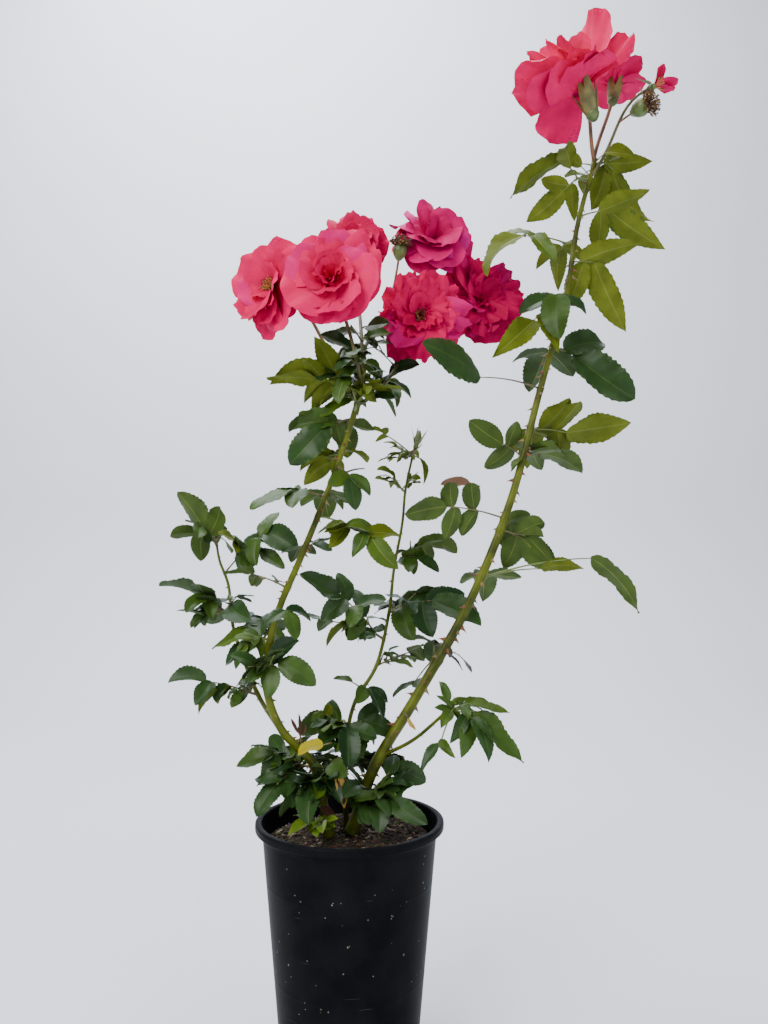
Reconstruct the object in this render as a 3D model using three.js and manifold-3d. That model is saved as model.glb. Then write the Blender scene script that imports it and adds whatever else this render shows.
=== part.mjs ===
// A rose bush in its nursery pot: two tall flowering canes, two thin ones and a low branch, with
// compound leaves on short shoots and open blooms at the cane ends.
// Millimetres, +Z up, origin at the centre of the pot's flat underside, -Y is the front.

import * as THREE from 'three';
import { mergeVertices } from 'three/addons/utils/BufferGeometryUtils.js';
import Module from 'manifold-3d';

const wasm = await Module();
wasm.setup();

// Driving dimensions: the pot.
const POT_HEIGHT = 250;
const RIM_RADIUS = 100;
const RIM_BAND = 8;
const RIM_LIP = 7;
const SHOULDER_RADIUS = 93.5;
const BASE_RADIUS = 70;
const POT_WALL = 2;
const POT_SIDES = 30;
const DRAIN_COUNT = 6;
const DRAIN_RADIUS = 6;
const DRAIN_CIRCLE = 52;

// Driving dimensions: the soil, and the gap that touching pieces keep.
const SOIL_TOP = 232;
const SOIL_EDGE_DROP = 4;
const GAP = 0.3;
const FOOT = SOIL_TOP + GAP;

// Driving dimensions: stalks, leaflets and petals.
const SHOOT_RADIUS = 1.7;
const STALK_RADIUS = 1.2;
const STALK_TIP = 0.8;
const STALK_STEP = 38;
const ROOT_DEPTH = 1;
const HAND_STAGGER = 3;
const LEAF_THICKNESS = 0.9;
const LEAF_WIDTH = 0.54;
const PETAL_THICKNESS = 1.2;
const PEDUNCLE_RADIUS = 1.7;
const PEDUNCLE_TIP = 1.36;
const HIP_RADIUS = 5;
const SPENT_HIP_RADIUS = 7;

// Base colours.
const BLOOM_COLOUR = 0xe0405c;
const LEAF_COLOUR = 0x3f6b2a;
const CANE_COLOUR = 0x7d8f3f;
const POT_COLOUR = 0x17181a;
const SOIL_COLOUR = 0x3a2c22;

const UP = new THREE.Vector3(0, 0, 1);

// ---- small tools -------------------------------------------------------------------------------

function seeded(seed) {
  let state = seed * 7919 + 1;
  return () => {
    state = (state * 16807) % 2147483647;
    return state / 2147483647;
  };
}

function mix(a, b, t) {
  return a + (b - a) * t;
}

// A unit vector from a compass bearing (0 = +X, 90 = +Y) and a rise above the level, in degrees.
function heading(compass, rise) {
  const turn = THREE.MathUtils.degToRad(compass);
  const lift = THREE.MathUtils.degToRad(rise);
  return new THREE.Vector3(
    Math.cos(turn) * Math.cos(lift),
    Math.sin(turn) * Math.cos(lift),
    Math.sin(lift),
  );
}

// A closed three.js geometry as a solid that can be joined and cut.
function solid(geometry) {
  const bare = geometry.clone();
  bare.deleteAttribute('normal');
  bare.deleteAttribute('uv');
  const merged = mergeVertices(bare, 1e-5);
  return new wasm.Manifold(new wasm.Mesh({
    numProp: 3,
    vertProperties: new Float32Array(merged.attributes.position.array),
    triVerts: new Uint32Array(merged.index.array),
  }));
}

function join(pieces) {
  let whole = pieces[0];
  for (const piece of pieces.slice(1)) {
    whole = whole.add(piece);
  }
  return whole;
}

// The largest closed body of a solid: sealed hollows are filled and loose scraps dropped.
function largest(whole) {
  return whole.decompose().reduce((best, piece) => (piece.volume() > best.volume() ? piece : best));
}

function toGeometry(whole) {
  const mesh = whole.getMesh();
  const geometry = new THREE.BufferGeometry();
  geometry.setAttribute('position', new THREE.BufferAttribute(mesh.vertProperties, 3));
  geometry.setIndex(new THREE.BufferAttribute(mesh.triVerts, 1));
  geometry.computeVertexNormals();
  return geometry;
}

// ---- keeping clear of what is already there ------------------------------------------------------

const taken = [];

function claim(piece) {
  taken.push({ piece, box: piece.boundingBox() });
}

function touches(piece, except) {
  const box = piece.boundingBox();
  return taken.some((other) => {
    if (other.piece === except) {
      return false;
    }
    const apart = [0, 1, 2].some((k) => (
      box.min[k] > other.box.max[k] || box.max[k] < other.box.min[k]
    ));
    return !apart && piece.intersect(other.piece).volume() > 0;
  });
}

// ---- limbs: a cylinder bent along a curve, with a radius of its own at each step -------------------

function limb(curve, radiusAt, sides, steps, foot = null) {
  const shape = new THREE.CylinderGeometry(1, 1, 1, sides, steps);
  const frames = curve.computeFrenetFrames(steps, false);
  const place = shape.attributes.position;
  const point = new THREE.Vector3();
  for (let i = 0; i < place.count; i += 1) {
    const step = Math.round((place.getY(i) + 0.5) * steps);
    const radius = radiusAt(step / steps);
    curve.getPointAt(step / steps, point);
    point.addScaledVector(frames.normals[step], place.getX(i) * radius);
    point.addScaledVector(frames.binormals[step], -place.getZ(i) * radius);
    place.setXYZ(i, point.x, point.y, step === 0 && foot !== null ? foot : point.z);
  }
  return solid(shape);
}

// A three-sided stalk or stem, with a bend at about every STALK_STEP.
function stalk(curve, startRadius, endRadius, spare = 0) {
  const steps = Math.max(1, Math.round(curve.getLength() / STALK_STEP));
  return limb(curve, (t) => mix(startRadius, endRadius, t) + spare, 3, steps);
}

// ---- blades: a flat two-sided pyramid drawn out into a leaflet or a petal ----------------------------

function blade(length, halfWidths, thickness, hollow, droop) {
  const parts = halfWidths.length + 1;
  const shape = new THREE.SphereGeometry(1, 2 * parts, 2);
  const place = shape.attributes.position;
  for (let i = 0; i < place.count; i += 1) {
    const [x, y, z] = [place.getX(i), place.getY(i), place.getZ(i)];
    if (Math.abs(y) > 0.5) {
      place.setXYZ(i, length * 0.45, 0, Math.sign(y) * thickness * 0.5 - hollow);
      continue;
    }
    const step = Math.round((Math.atan2(Math.abs(z), -x) / Math.PI) * parts);
    const inner = step > 0 && step < parts;
    const along = inner ? halfWidths[step - 1][0] : step / parts;
    const across = inner ? halfWidths[step - 1][1] : 0;
    place.setXYZ(i, length * along, -Math.sign(z) * across * length, -droop * along * along);
  }
  return shape;
}

// Stations of a blade's outline, as shares of its length: place along it and half width.
const END_OUTLINE = [[0.3, LEAF_WIDTH / 2], [0.68, LEAF_WIDTH * 0.4]];
const SIDE_OUTLINE = [[0.45, LEAF_WIDTH * 0.54]];
const PETAL_OUTLINE = [[0.4, 0.34], [0.86, 0.44]];
const INNER_OUTLINE = [[0.7, 0.42]];

function aim(shape, origin, direction, normal) {
  const across = new THREE.Vector3().crossVectors(normal, direction).normalize();
  const up = new THREE.Vector3().crossVectors(direction, across).normalize();
  const frame = new THREE.Matrix4().makeBasis(direction, across, up).setPosition(origin);
  return solid(shape.clone().applyMatrix4(frame));
}

// A leaflet, a slightly larger one that keeps the gap, and its blade beyond the root.
function leaflet(outline, root, direction, normal, length) {
  const make = (start, spare) => {
    const size = length * (1 - start);
    const shape = blade(size + 2 * spare, outline, LEAF_THICKNESS + 2 * spare, 0, size * 0.1);
    const origin = root.clone().addScaledVector(direction, start * length);
    return aim(shape, origin, direction, normal);
  };
  return { exact: make(0, 0), roomy: make(0, GAP), beyond: make(0.15, 0) };
}

// The upper side of a leaf that points along direction, rolled towards the front by turn degrees.
function upperSide(direction, turn) {
  const side = new THREE.Vector3().crossVectors(UP, direction).normalize();
  const top = new THREE.Vector3().crossVectors(direction, side);
  const front = side.y > 0 ? side.negate() : side;
  const roll = THREE.MathUtils.degToRad(turn);
  return top.multiplyScalar(Math.cos(roll)).addScaledVector(front, Math.sin(roll));
}

// ---- compound leaves -------------------------------------------------------------------------------

// A leaf is [compass, rise, reach, leaflet, pairs, droop, turn]: the stalk's bearing, rise and
// length, the end leaflet's length, the pairs of smaller leaflets along the stalk, how far the end
// leaflet drops below the stalk's line, and its roll towards the front.
function compoundLeaf(start, leaf, random, own, blades) {
  const [compass, rise, reach, size, pairs, droop, turn] = leaf;
  const end = start.clone().addScaledVector(heading(compass, rise), reach);
  const middle = start.clone().lerp(end, 0.5).addScaledVector(UP, reach * 0.08);
  const curve = new THREE.QuadraticBezierCurve3(start, middle, end);
  if (touches(stalk(curve, STALK_RADIUS, STALK_TIP, GAP), own)) {
    return [];
  }
  const pieces = [stalk(curve, STALK_RADIUS, STALK_TIP)];
  const tip = heading(compass, rise - droop);
  const place = (outline, origin, direction, normal, length) => {
    const root = origin.clone().addScaledVector(direction, -ROOT_DEPTH);
    const made = leaflet(outline, root, direction, normal, length);
    const crossing = blades.some((other) => made.beyond.intersect(other).volume() > 0);
    if (!crossing && !touches(made.roomy, null)) {
      pieces.push(made.exact);
      blades.push(made.exact);
    }
  };
  place(END_OUTLINE, end, tip, upperSide(tip, turn), size);
  const spread = heading(compass, rise - droop * 0.7);
  const upper = upperSide(spread, turn);
  const left = new THREE.Vector3().crossVectors(upper, spread).normalize();
  for (let pair = 0; pair < pairs; pair += 1) {
    const back = size * (0.16 + 0.5 * pair);
    const share = Math.max(0.3 - 0.1 * pair, 1 - back / reach);
    for (const hand of [-1, 1]) {
      const stagger = (hand * HAND_STAGGER) / 2 / reach;
      const root = curve.getPointAt(Math.min(share, 0.9) + stagger);
      const angle = THREE.MathUtils.degToRad(mix(50, 78, random()));
      const length = size * mix(0.68, 0.85, random()) * 0.88 ** pair;
      const sag = mix(-0.05, 0.35, random());
      const direction = spread.clone().multiplyScalar(Math.cos(angle));
      direction.addScaledVector(left, hand * Math.sin(angle));
      direction.addScaledVector(UP, -sag).normalize();
      place(SIDE_OUTLINE, root, direction, upper, length);
    }
  }
  return pieces;
}

// ---- canes -----------------------------------------------------------------------------------------

// Each cane runs through a few points from its foot to its fork. A cane with a parent starts inside
// it and is cut clear of it.
function cane(name, points, footRadius, tipRadius, sides, steps, parent = null) {
  const curve = new THREE.CatmullRomCurve3(points.map((p) => new THREE.Vector3(...p)));
  const length = curve.getLength();
  const flare = parent ? 0 : footRadius * 0.4;
  const radiusAt = (t) => (
    mix(footRadius, tipRadius, t ** 0.9) + flare * Math.max(0, 1 - (t * length) / 30) ** 2
  );
  const foot = parent ? null : FOOT;
  let body = limb(curve, radiusAt, sides, steps, foot);
  if (parent) {
    body = largest(body.subtract(parent.roomy));
  }
  const roomy = limb(curve, (t) => radiusAt(t) + GAP, sides, steps, foot);
  claim(body);
  return { name, curve, body, roomy, radiusAt };
}

const caneRight = cane('cane_right', [
  [2, 5, FOOT], [25, 5, 300], [68, 10, 370], [131, 20, 477], [180, 32, 591],
  [217, 42, 719], [252, 50, 839], [268, 54, 926], [292, 58, 1010],
], 6.8, 2.6, 7, 18);

const caneLeft = cane('cane_left', [
  [-22, -4, FOOT], [-38, -10, 306], [-72, -14, 345], [-87, -20, 386], [-87, -25, 416],
  [-74, -33, 471], [-51, -41, 525], [-21, -48, 598], [4, -54, 671], [16, -58, 722],
], 5.2, 2.5, 6, 18);

const caneMiddle = cane('cane_middle', [
  [-5, 22, FOOT], [-6, 24, 320], [4, 30, 367], [27, 40, 404], [42, 52, 464],
  [48, 60, 515], [58, 68, 569], [62, 73, 609], [71, 78, 652],
], 2.8, 1.4, 6, 14);

const caneThin = cane('cane_thin', [
  [-73, -13, 344], [-99, 10, 374], [-116, 24, 405], [-135, 38, 452], [-143, 50, 497],
  [-155, 56, 526], [-160, 60, 549],
], 2.9, 1.4, 6, 9, caneLeft);

const branchLow = cane('branch_low', [
  [34, 5, 314], [64, -12, 332], [91, -36, 359], [105, -54, 377],
], 2.3, 1.6, 6, 4, caneRight);

// The point of a cane at a given height.
function pointAt(limbOf, height) {
  let low = 0;
  let high = 1;
  for (let i = 0; i < 30; i += 1) {
    const middle = (low + high) / 2;
    if (limbOf.curve.getPointAt(middle).z < height) {
      low = middle;
    } else {
      high = middle;
    }
  }
  return limbOf.curve.getPointAt(low);
}

// ---- blooms ----------------------------------------------------------------------------------------

// Rings of petals from the outside in: count, opening from the bloom's axis in degrees, length as a
// share of the radius and, for a petal with a place of its own, its turn round the bloom's axis and
// its twist about its own length, in degrees.
const FULL = [[5, 82, 1], [4, 54, 0.9], [3, 24, 0.7]];
const SPRAWLING = [
  [1, 74, 1.19, 270, -45], [1, 86, 0.8, 305, -30], [1, 125, 1.1, 240, 70], [1, 61, 1.25, 95, 50],
  [1, 75, 0.65, 350], [1, 60, 0.9, 225, 40], [1, 40, 1, 205], [1, 25, 1.17, 256, -45],
  [1, 44, 1.17, 266, -50], [1, 34, 1.62, 105, 50], [1, 22, 1.1, 120, 40], [1, 8, 1.05, 200, 40],
];
const SMALL = [[4, 80, 1], [3, 50, 0.85], [2, 20, 0.6]];
const RISING = [[4, 58, 1], [3, 40, 0.9], [2, 20, 0.6]];
const FADED = [[1, 45, 0.72, 90, -50], [1, 15, 0.8, 270, -30], [1, 38, 0.72, 285, -20]];

// The curve of a bloom's stem: out of the cane along a bearing, and into the back of the bloom.
function stemCurve(start, leave, base, axis) {
  const reach = start.distanceTo(base);
  return new THREE.CubicBezierCurve3(
    start,
    start.clone().addScaledVector(leave, reach * 0.45),
    base.clone().addScaledVector(axis, -reach * 0.4),
    base,
  );
}

// A spent hip on a stem of its own that forks off a bloom's stem.
function spentHip(curve, place) {
  const end = new THREE.Vector3(...place);
  const fork = curve.getPointAt(0.55);
  const bend = fork.clone().lerp(end, 0.5).setZ(fork.z + 4);
  const stem = stalk(new THREE.QuadraticBezierCurve3(fork, bend, end), PEDUNCLE_TIP, PEDUNCLE_TIP);
  const ball = new THREE.SphereGeometry(SPENT_HIP_RADIUS, 6, 4).translate(end.x, end.y, end.z);
  return [stem, solid(ball)];
}

// The petals of a bloom. One that would touch what is already there is left out.
function petals(random, base, axis, radius, rings) {
  const side = new THREE.Vector3().crossVectors(UP, axis).normalize();
  const other = new THREE.Vector3().crossVectors(axis, side);
  const pieces = [];
  for (const [count, opening, share, place, twist = 0] of rings) {
    const phase = place ?? random() * 360;
    const slack = place === undefined ? 0.3 : 0;
    for (let petal = 0; petal < count; petal += 1) {
      const around = THREE.MathUtils.degToRad(phase + (360 / count) * (petal + slack * random()));
      const open = THREE.MathUtils.degToRad(opening + mix(-7, 7, random()));
      const length = radius * share * mix(0.9, 1.04, random());
      const out = side.clone().multiplyScalar(Math.cos(around));
      out.addScaledVector(other, Math.sin(around));
      const direction = axis.clone().multiplyScalar(Math.cos(open));
      direction.addScaledVector(out, Math.sin(open));
      const inner = axis.clone().multiplyScalar(Math.sin(open));
      inner.addScaledVector(out, -Math.cos(open));
      inner.applyAxisAngle(direction, THREE.MathUtils.degToRad(twist));
      const outline = opening > 60 ? PETAL_OUTLINE : INNER_OUTLINE;
      const made = [0, GAP].map((spare) => {
        const thickness = PETAL_THICKNESS + 2 * spare;
        return aim(blade(length + spare, outline, thickness, length * 0.1, 0), base, direction, inner);
      });
      if (!touches(made[1], null)) {
        pieces.push(made[0]);
      }
    }
  }
  return pieces;
}

// A bloom on its stem. The stem leaves the cane at a height with a bearing and rise, and the bloom's
// face looks along a bearing and rise from its centre.
function bloom(seed, limbOf, height, leave, centre, face, radius, rings, hip) {
  const axis = heading(...face);
  const base = new THREE.Vector3(...centre).addScaledVector(axis, -radius * 0.25);
  const curve = stemCurve(pointAt(limbOf, height), heading(...leave), base, axis);
  const cup = new THREE.OctahedronGeometry(HIP_RADIUS).translate(base.x, base.y, base.z);
  const pieces = [
    stalk(curve, PEDUNCLE_RADIUS, PEDUNCLE_TIP).subtract(limbOf.roomy),
    solid(cup),
    ...(hip ? spentHip(curve, hip) : []),
    ...petals(seeded(seed), base, axis, radius, rings),
  ];
  const whole = largest(join(pieces));
  claim(whole);
  return whole;
}

// Name, seed, cane, height on the cane, stem's bearing and rise, centre, face's bearing and rise,
// radius, rings of petals and the place of a spent hip on a fork of the stem.
const BLOOMS = [
  ['bloom_left_front', 1, caneLeft, 706, [-100, 50], [-18, -88, 811], [-95, 4], 56, FULL],
  ['bloom_left_outer', 2, caneLeft, 694, [175, 50], [-89, -48, 816], [-130, 0], 54, FULL],
  ['bloom_left_right', 3, caneLeft, 684, [40, 25], [77, -15, 794], [-85, -4], 55, FULL],
  ['bloom_left_back', 4, caneLeft, 716, [100, 80], [1, 12, 889], [-90, 15], 42, SMALL],
  ['bloom_left_high', 5, caneLeft, 710, [100, 50], [94, 10, 894], [-75, 20], 48, FULL, [54, 0, 870]],
  ['bloom_left_far', 6, caneLeft, 699, [80, 10], [152, 30, 827], [-70, 0], 58, FULL],
  ['bloom_top_main', 7, caneRight, 1005, [160, 80], [262, 12, 1085], [180, 72], 70, SPRAWLING],
  ['bloom_top_back', 8, caneRight, 994, [60, 70], [321, 72, 1114], [60, 70], 46, RISING],
  ['bloom_top_faded', 9, caneRight, 986, [-10, 50], [367, 38, 1092], [-5, 20], 40, FADED, [337, 28, 1055]],
];

const bodies = BLOOMS.map(([name, ...values]) => ({ name, colour: BLOOM_COLOUR, body: bloom(...values) }));

// ---- leaf masses -----------------------------------------------------------------------------------

// Each shoot is a short stem out of its cane, at a height, with a bearing, rise and length, and its
// leaves. With no stem of its own, its one leaf's stalk comes out of the cane.
const NONE = [0, 0, 0];
const SHOOTS = [
  ['leaves_right_tip', caneRight, 1000, [20, 35, 14], [
    [25, -20, 20, 88, 1, 30, -60], [10, 50, 12, 36, 0, 50, -30]]],
  ['leaves_right_1', caneRight, 982, [180, 10, 14], [
    [-170, 50, 28, 92, 1, 85, -25], [175, -40, 22, 65, 1, 0, -55]]],
  ['leaves_right_2', caneRight, 936, NONE, [[18, 18, 44, 88, 1, 45, -45]]],
  ['leaves_right_3', caneRight, 905, [130, 10, 14], [
    [-146, -6, 66, 90, 1, 32, 30], [85, 10, 36, 60, 1, 45, 0]]],
  ['leaves_right_4', caneRight, 879, NONE, [[15, 5, 30, 95, 1, 70, -75]]],
  ['leaves_right_5', caneRight, 827, [-140, 0, 14], [
    [-148, -38, 46, 78, 1, 2, 55], [-100, 5, 20, 60, 1, 75, 0]]],
  ['leaves_right_6', caneRight, 776, [60, 0, 14], [
    [-15, -25, 22, 90, 1, 15, 60], [100, 5, 36, 66, 1, 35, 0]]],
  ['leaves_right_7', caneRight, 724, NONE, [[-144, 0, 95, 84, 0, -20, 68]]],
  ['leaves_right_8', caneRight, 678, [60, 0, 14], [
    [5, -5, 38, 80, 2, -15, -40], [85, 5, 40, 62, 1, 40, 0]]],
  ['leaves_right_9', caneRight, 647, [95, 0, 14], [
    [175, 35, 25, 50, 1, 0, -60], [15, 5, 25, 60, 1, 20, -20]]],
  ['leaves_right_10', caneRight, 572, NONE, [[-165, 10, 70, 52, 2, 20, -60]]],
  ['leaves_right_11', caneRight, 560, [80, 0, 15], [
    [55, 25, 25, 45, 1, 75, -50], [15, -20, 28, 55, 1, 20, -50]]],
  ['leaves_right_12', caneRight, 505, [60, 5, 14], [
    [-5, 10, 120, 82, 0, 55, -40], [-5, 8, 64, 50, 0, 2, -50], [85, 5, 40, 56, 1, 40, 0]]],
  ['leaves_right_13', caneRight, 415, [100, 5, 14], [
    [25, 10, 25, 35, 1, 50, 20], [90, 45, 25, 40, 1, 90, 20], [160, -50, 40, 30, 1, -20, -20]]],
  ['leaves_left_tip', caneLeft, 687, [115, 40, 14], [
    [-172, 42, 32, 70, 1, 45, -50], [130, 50, 25, 35, 1, 40, 20], [60, 45, 25, 34, 1, 40, -20]]],
  ['leaves_left_front', caneLeft, 677, [-75, 40, 12], [
    [-115, 50, 30, 40, 1, 100, 0], [-30, 40, 24, 36, 1, 50, 10]]],
  ['leaves_left_1', caneLeft, 671, [110, 5, 12], [
    [-160, -20, 25, 60, 1, 25, 60], [95, 0, 36, 46, 1, 40, 0]]],
  ['leaves_left_2', caneLeft, 637, [100, 10, 12], [
    [150, -40, 18, 42, 1, -10, -60], [60, 5, 25, 32, 1, 20, 10]]],
  ['leaves_left_3', caneLeft, 622, NONE, [[-65, -25, 40, 36, 1, 45, 0]]],
  ['leaves_left_4', caneLeft, 590, [110, 5, 12], [
    [-155, 10, 35, 50, 1, 35, 10], [90, 10, 40, 46, 1, 40, 0]]],
  ['leaves_left_5', caneLeft, 570, NONE, [[-25, -20, 65, 46, 2, 30, 50]]],
  ['leaves_left_6', caneLeft, 535, [70, 20, 12], [
    [40, 20, 14, 30, 1, 10, 10], [115, 0, 30, 32, 1, 30, 10]]],
  ['leaves_left_7', caneLeft, 495, NONE, [[170, 20, 45, 30, 2, 20, -30]]],
  ['leaves_left_8', caneLeft, 440, [130, 5, 12], [
    [160, 15, 15, 54, 1, 30, 40], [165, -40, 15, 42, 0, -15, 40],
    [90, 15, 40, 42, 1, 45, 40]]],
  ['leaves_left_9', caneLeft, 470, NONE, [[-60, 5, 25, 36, 1, 55, 0]]],
  ['leaves_left_10', caneLeft, 410, [-80, 10, 12], [
    [-15, 25, 15, 48, 1, 50, 60], [-150, 5, 10, 34, 1, -25, 60]]],
  ['leaves_thin_1', caneThin, 378, [-150, 15, 9], [
    [-175, 15, 50, 42, 3, 12, 40], [-60, 50, 18, 22, 0, 20, 20]]],
  ['leaves_thin_2', caneThin, 465, [-165, 10, 9], [
    [172, 35, 25, 60, 2, 15, -30], [-55, 20, 20, 48, 0, 35, 40], [-170, -15, 20, 34, 1, -30, 0]]],
  ['leaves_thin_3', caneThin, 510, NONE, [[-25, 40, 70, 50, 2, 60, 60]]],
  ['leaves_thin_tip', caneThin, 543, [170, 60, 8], [
    [172, 45, 15, 58, 1, -10, -60], [60, 10, 12, 30, 0, 45, 30]]],
  ['leaves_middle_tip', caneMiddle, 646, [60, 60, 6], [
    [-168, 35, 45, 26, 1, 20, -20], [35, -15, 10, 34, 0, 55, 20], [130, -10, 15, 30, 0, -60, -20]]],
  ['leaves_middle_1', caneMiddle, 607, [120, 20, 8], [
    [150, 55, 20, 28, 1, 25, -20], [55, 35, 20, 26, 0, 15, 20]]],
  ['leaves_middle_2', caneMiddle, 520, NONE, [[15, 35, 45, 44, 2, 45, -40]]],
  ['leaves_middle_3', caneMiddle, 465, [50, 10, 10], [
    [-20, 15, 48, 64, 2, 40, 50], [85, 15, 38, 44, 1, 40, 0]]],
  ['leaves_middle_4', caneMiddle, 435, [-150, 30, 10], [
    [-155, 45, 65, 54, 2, 20, 60], [175, 15, 65, 34, 1, 0, -30]]],
  ['leaves_middle_5', caneMiddle, 405, NONE, [[10, 20, 50, 36, 2, -5, -30]]],
  ['leaves_middle_6', caneMiddle, 380, [-90, 20, 8], [
    [165, 30, 12, 24, 0, 20, 0], [-45, 0, 15, 38, 1, 55, 0]]],
  ['leaves_low', branchLow, 370, [-35, 20, 8], [
    [-20, 20, 20, 42, 1, 30, 20], [-30, 0, 28, 66, 1, 45, 40],
    [-50, -10, 28, 48, 1, 45, 30], [110, 30, 12, 30, 1, -15, 20], [-150, -65, 36, 36, 1, -20, 20]]],
  ['foot_middle', caneMiddle, 332, [-90, 30, 10], [
    [165, 40, 20, 46, 1, 60, 60], [0, 35, 22, 42, 2, 55, 60], [-85, 20, 25, 44, 1, 75, 0]]],
  ['foot_left', caneLeft, 306, [-150, 10, 12], [
    [175, 20, 35, 44, 2, 40, 50], [-140, -20, 32, 42, 1, 25, 30]]],
  ['foot_left_front', caneLeft, 275, [-80, 30, 12], [
    [-105, 38, 26, 46, 1, 85, 0], [-60, 60, 40, 34, 0, 70, 40]]],
  ['foot_right_front', caneRight, 264, [-70, 25, 14], [
    [-115, 55, 24, 36, 1, 60, 20], [-35, 10, 32, 50, 2, 30, 30], [15, 45, 40, 44, 1, 60, 50]]],
  ['foot_new', caneLeft, 246, [-110, 35, 14], [
    [-125, 5, 24, 30, 1, 15, 20], [-85, 10, 32, 26, 1, 15, 30]]],
  ['foot_back', caneMiddle, 285, [90, 25, 12], [
    [80, 30, 35, 48, 1, 50, 0], [140, 20, 40, 46, 1, 40, 0], [30, 25, 40, 46, 1, 40, 0]]],
];

function leafMass(seed, limbOf, height, stem, leaves) {
  const random = seeded(seed);
  const start = pointAt(limbOf, height);
  const [compass, rise, length] = stem;
  const top = start.clone().addScaledVector(heading(compass, rise), length);
  const blades = [];
  const pieces = leaves.flatMap((leaf) => compoundLeaf(top, leaf, random, limbOf.body, blades));
  if (length > 0) {
    pieces.push(stalk(new THREE.LineCurve3(start, top), SHOOT_RADIUS, SHOOT_RADIUS));
  }
  if (pieces.length === 0) {
    throw new Error('an empty leaf mass');
  }
  const whole = largest(join(pieces).subtract(limbOf.roomy));
  claim(whole);
  return whole;
}

SHOOTS.forEach(([name, limbOf, height, stem, leaves], index) => {
  bodies.push({ name, colour: LEAF_COLOUR, body: leafMass(index + 20, limbOf, height, stem, leaves) });
});

for (const part of [caneRight, caneLeft, caneMiddle, caneThin, branchLow]) {
  bodies.push({ name: part.name, colour: CANE_COLOUR, body: part.body });
}

// ---- pot and soil ------------------------------------------------------------------------------------

function lathe(profile) {
  const points = profile.map(([radius, height]) => new THREE.Vector2(radius, height));
  return solid(new THREE.LatheGeometry(points, POT_SIDES).rotateX(Math.PI / 2));
}

// The wall's outer radius at a height, from the base to the shoulder under the rim band.
function wallRadius(height) {
  return mix(BASE_RADIUS, SHOULDER_RADIUS, height / POT_HEIGHT);
}

function pot() {
  const inner = POT_HEIGHT - POT_WALL;
  const shell = lathe([
    [0, 0],
    [BASE_RADIUS - 2, 0],
    [wallRadius(2), 2],
    [wallRadius(inner), inner],
    [RIM_RADIUS - POT_WALL, inner],
    [RIM_RADIUS - POT_WALL, POT_HEIGHT - RIM_BAND],
    [RIM_RADIUS, POT_HEIGHT - RIM_BAND],
    [RIM_RADIUS, POT_HEIGHT - 1.5],
    [RIM_RADIUS - 1.5, POT_HEIGHT],
    [RIM_RADIUS - RIM_LIP + 1, POT_HEIGHT],
    [RIM_RADIUS - RIM_LIP, POT_HEIGHT - 2],
    [wallRadius(inner) - POT_WALL, inner - 6],
    [wallRadius(POT_WALL) - POT_WALL, POT_WALL],
    [0, POT_WALL],
  ]);
  let body = shell;
  for (let i = 0; i < DRAIN_COUNT; i += 1) {
    const angle = (i / DRAIN_COUNT) * 2 * Math.PI;
    const hole = new THREE.CylinderGeometry(DRAIN_RADIUS, DRAIN_RADIUS, 3 * POT_WALL, 8);
    hole.rotateX(Math.PI / 2);
    hole.translate(DRAIN_CIRCLE * Math.cos(angle), DRAIN_CIRCLE * Math.sin(angle), POT_WALL / 2);
    body = body.subtract(solid(hole));
  }
  return body;
}

function soil() {
  const side = POT_WALL + GAP;
  const edge = SOIL_TOP - SOIL_EDGE_DROP;
  return lathe([
    [0, side],
    [wallRadius(side) - side - 0.2, side],
    [wallRadius(edge) - side - 0.2, edge],
    [wallRadius(edge) - side - 14, SOIL_TOP],
    [0, SOIL_TOP],
  ]);
}

bodies.push({ name: 'pot', colour: POT_COLOUR, body: pot() });
bodies.push({ name: 'soil', colour: SOIL_COLOUR, body: soil() });

// ---- the scene graph ---------------------------------------------------------------------------------

const bush = new THREE.Group();
bush.name = 'potted_rose';
for (const { name, colour, body } of bodies) {
  const material = new THREE.MeshStandardMaterial({ color: colour, roughness: 0.6, metalness: 0 });
  const mesh = new THREE.Mesh(toGeometry(body), material);
  mesh.name = name;
  bush.add(mesh);
}

export default bush;
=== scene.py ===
import itertools
import math

import bpy
import numpy as np
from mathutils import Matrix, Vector, noise
from mathutils.bvhtree import BVHTree


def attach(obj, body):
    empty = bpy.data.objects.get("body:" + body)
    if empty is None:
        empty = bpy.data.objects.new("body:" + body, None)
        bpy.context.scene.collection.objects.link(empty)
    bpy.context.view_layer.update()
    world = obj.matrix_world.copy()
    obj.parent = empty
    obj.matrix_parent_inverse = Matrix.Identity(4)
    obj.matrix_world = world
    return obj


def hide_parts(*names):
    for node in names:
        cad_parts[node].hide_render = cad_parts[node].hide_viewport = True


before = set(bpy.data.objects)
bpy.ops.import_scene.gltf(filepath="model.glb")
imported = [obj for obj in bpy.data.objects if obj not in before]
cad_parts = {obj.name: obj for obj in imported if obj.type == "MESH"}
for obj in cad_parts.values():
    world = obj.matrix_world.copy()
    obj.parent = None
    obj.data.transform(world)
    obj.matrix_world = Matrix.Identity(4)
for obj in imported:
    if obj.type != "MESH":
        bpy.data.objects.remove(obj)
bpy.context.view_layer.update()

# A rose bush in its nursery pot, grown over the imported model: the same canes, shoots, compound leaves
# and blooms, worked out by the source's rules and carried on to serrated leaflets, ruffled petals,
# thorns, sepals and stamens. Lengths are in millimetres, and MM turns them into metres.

MM = 0.001

# The plant's driving dimensions, as in the source.
POT_HEIGHT = 250
RIM_RADIUS = 100
RIM_BAND = 8
RIM_LIP = 7
SHOULDER_RADIUS = 93.5
BASE_RADIUS = 70
POT_WALL = 2
DRAIN_COUNT = 6
DRAIN_RADIUS = 6
DRAIN_CIRCLE = 52
POT_RINGS = (96, 190)
POT_SIDES = 160
SOIL_TOP = 232
FOOT = 232.3
ROOT_DEPTH = 1
HAND_STAGGER = 3
UP = np.array([0.0, 0.0, 1.0])

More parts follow.
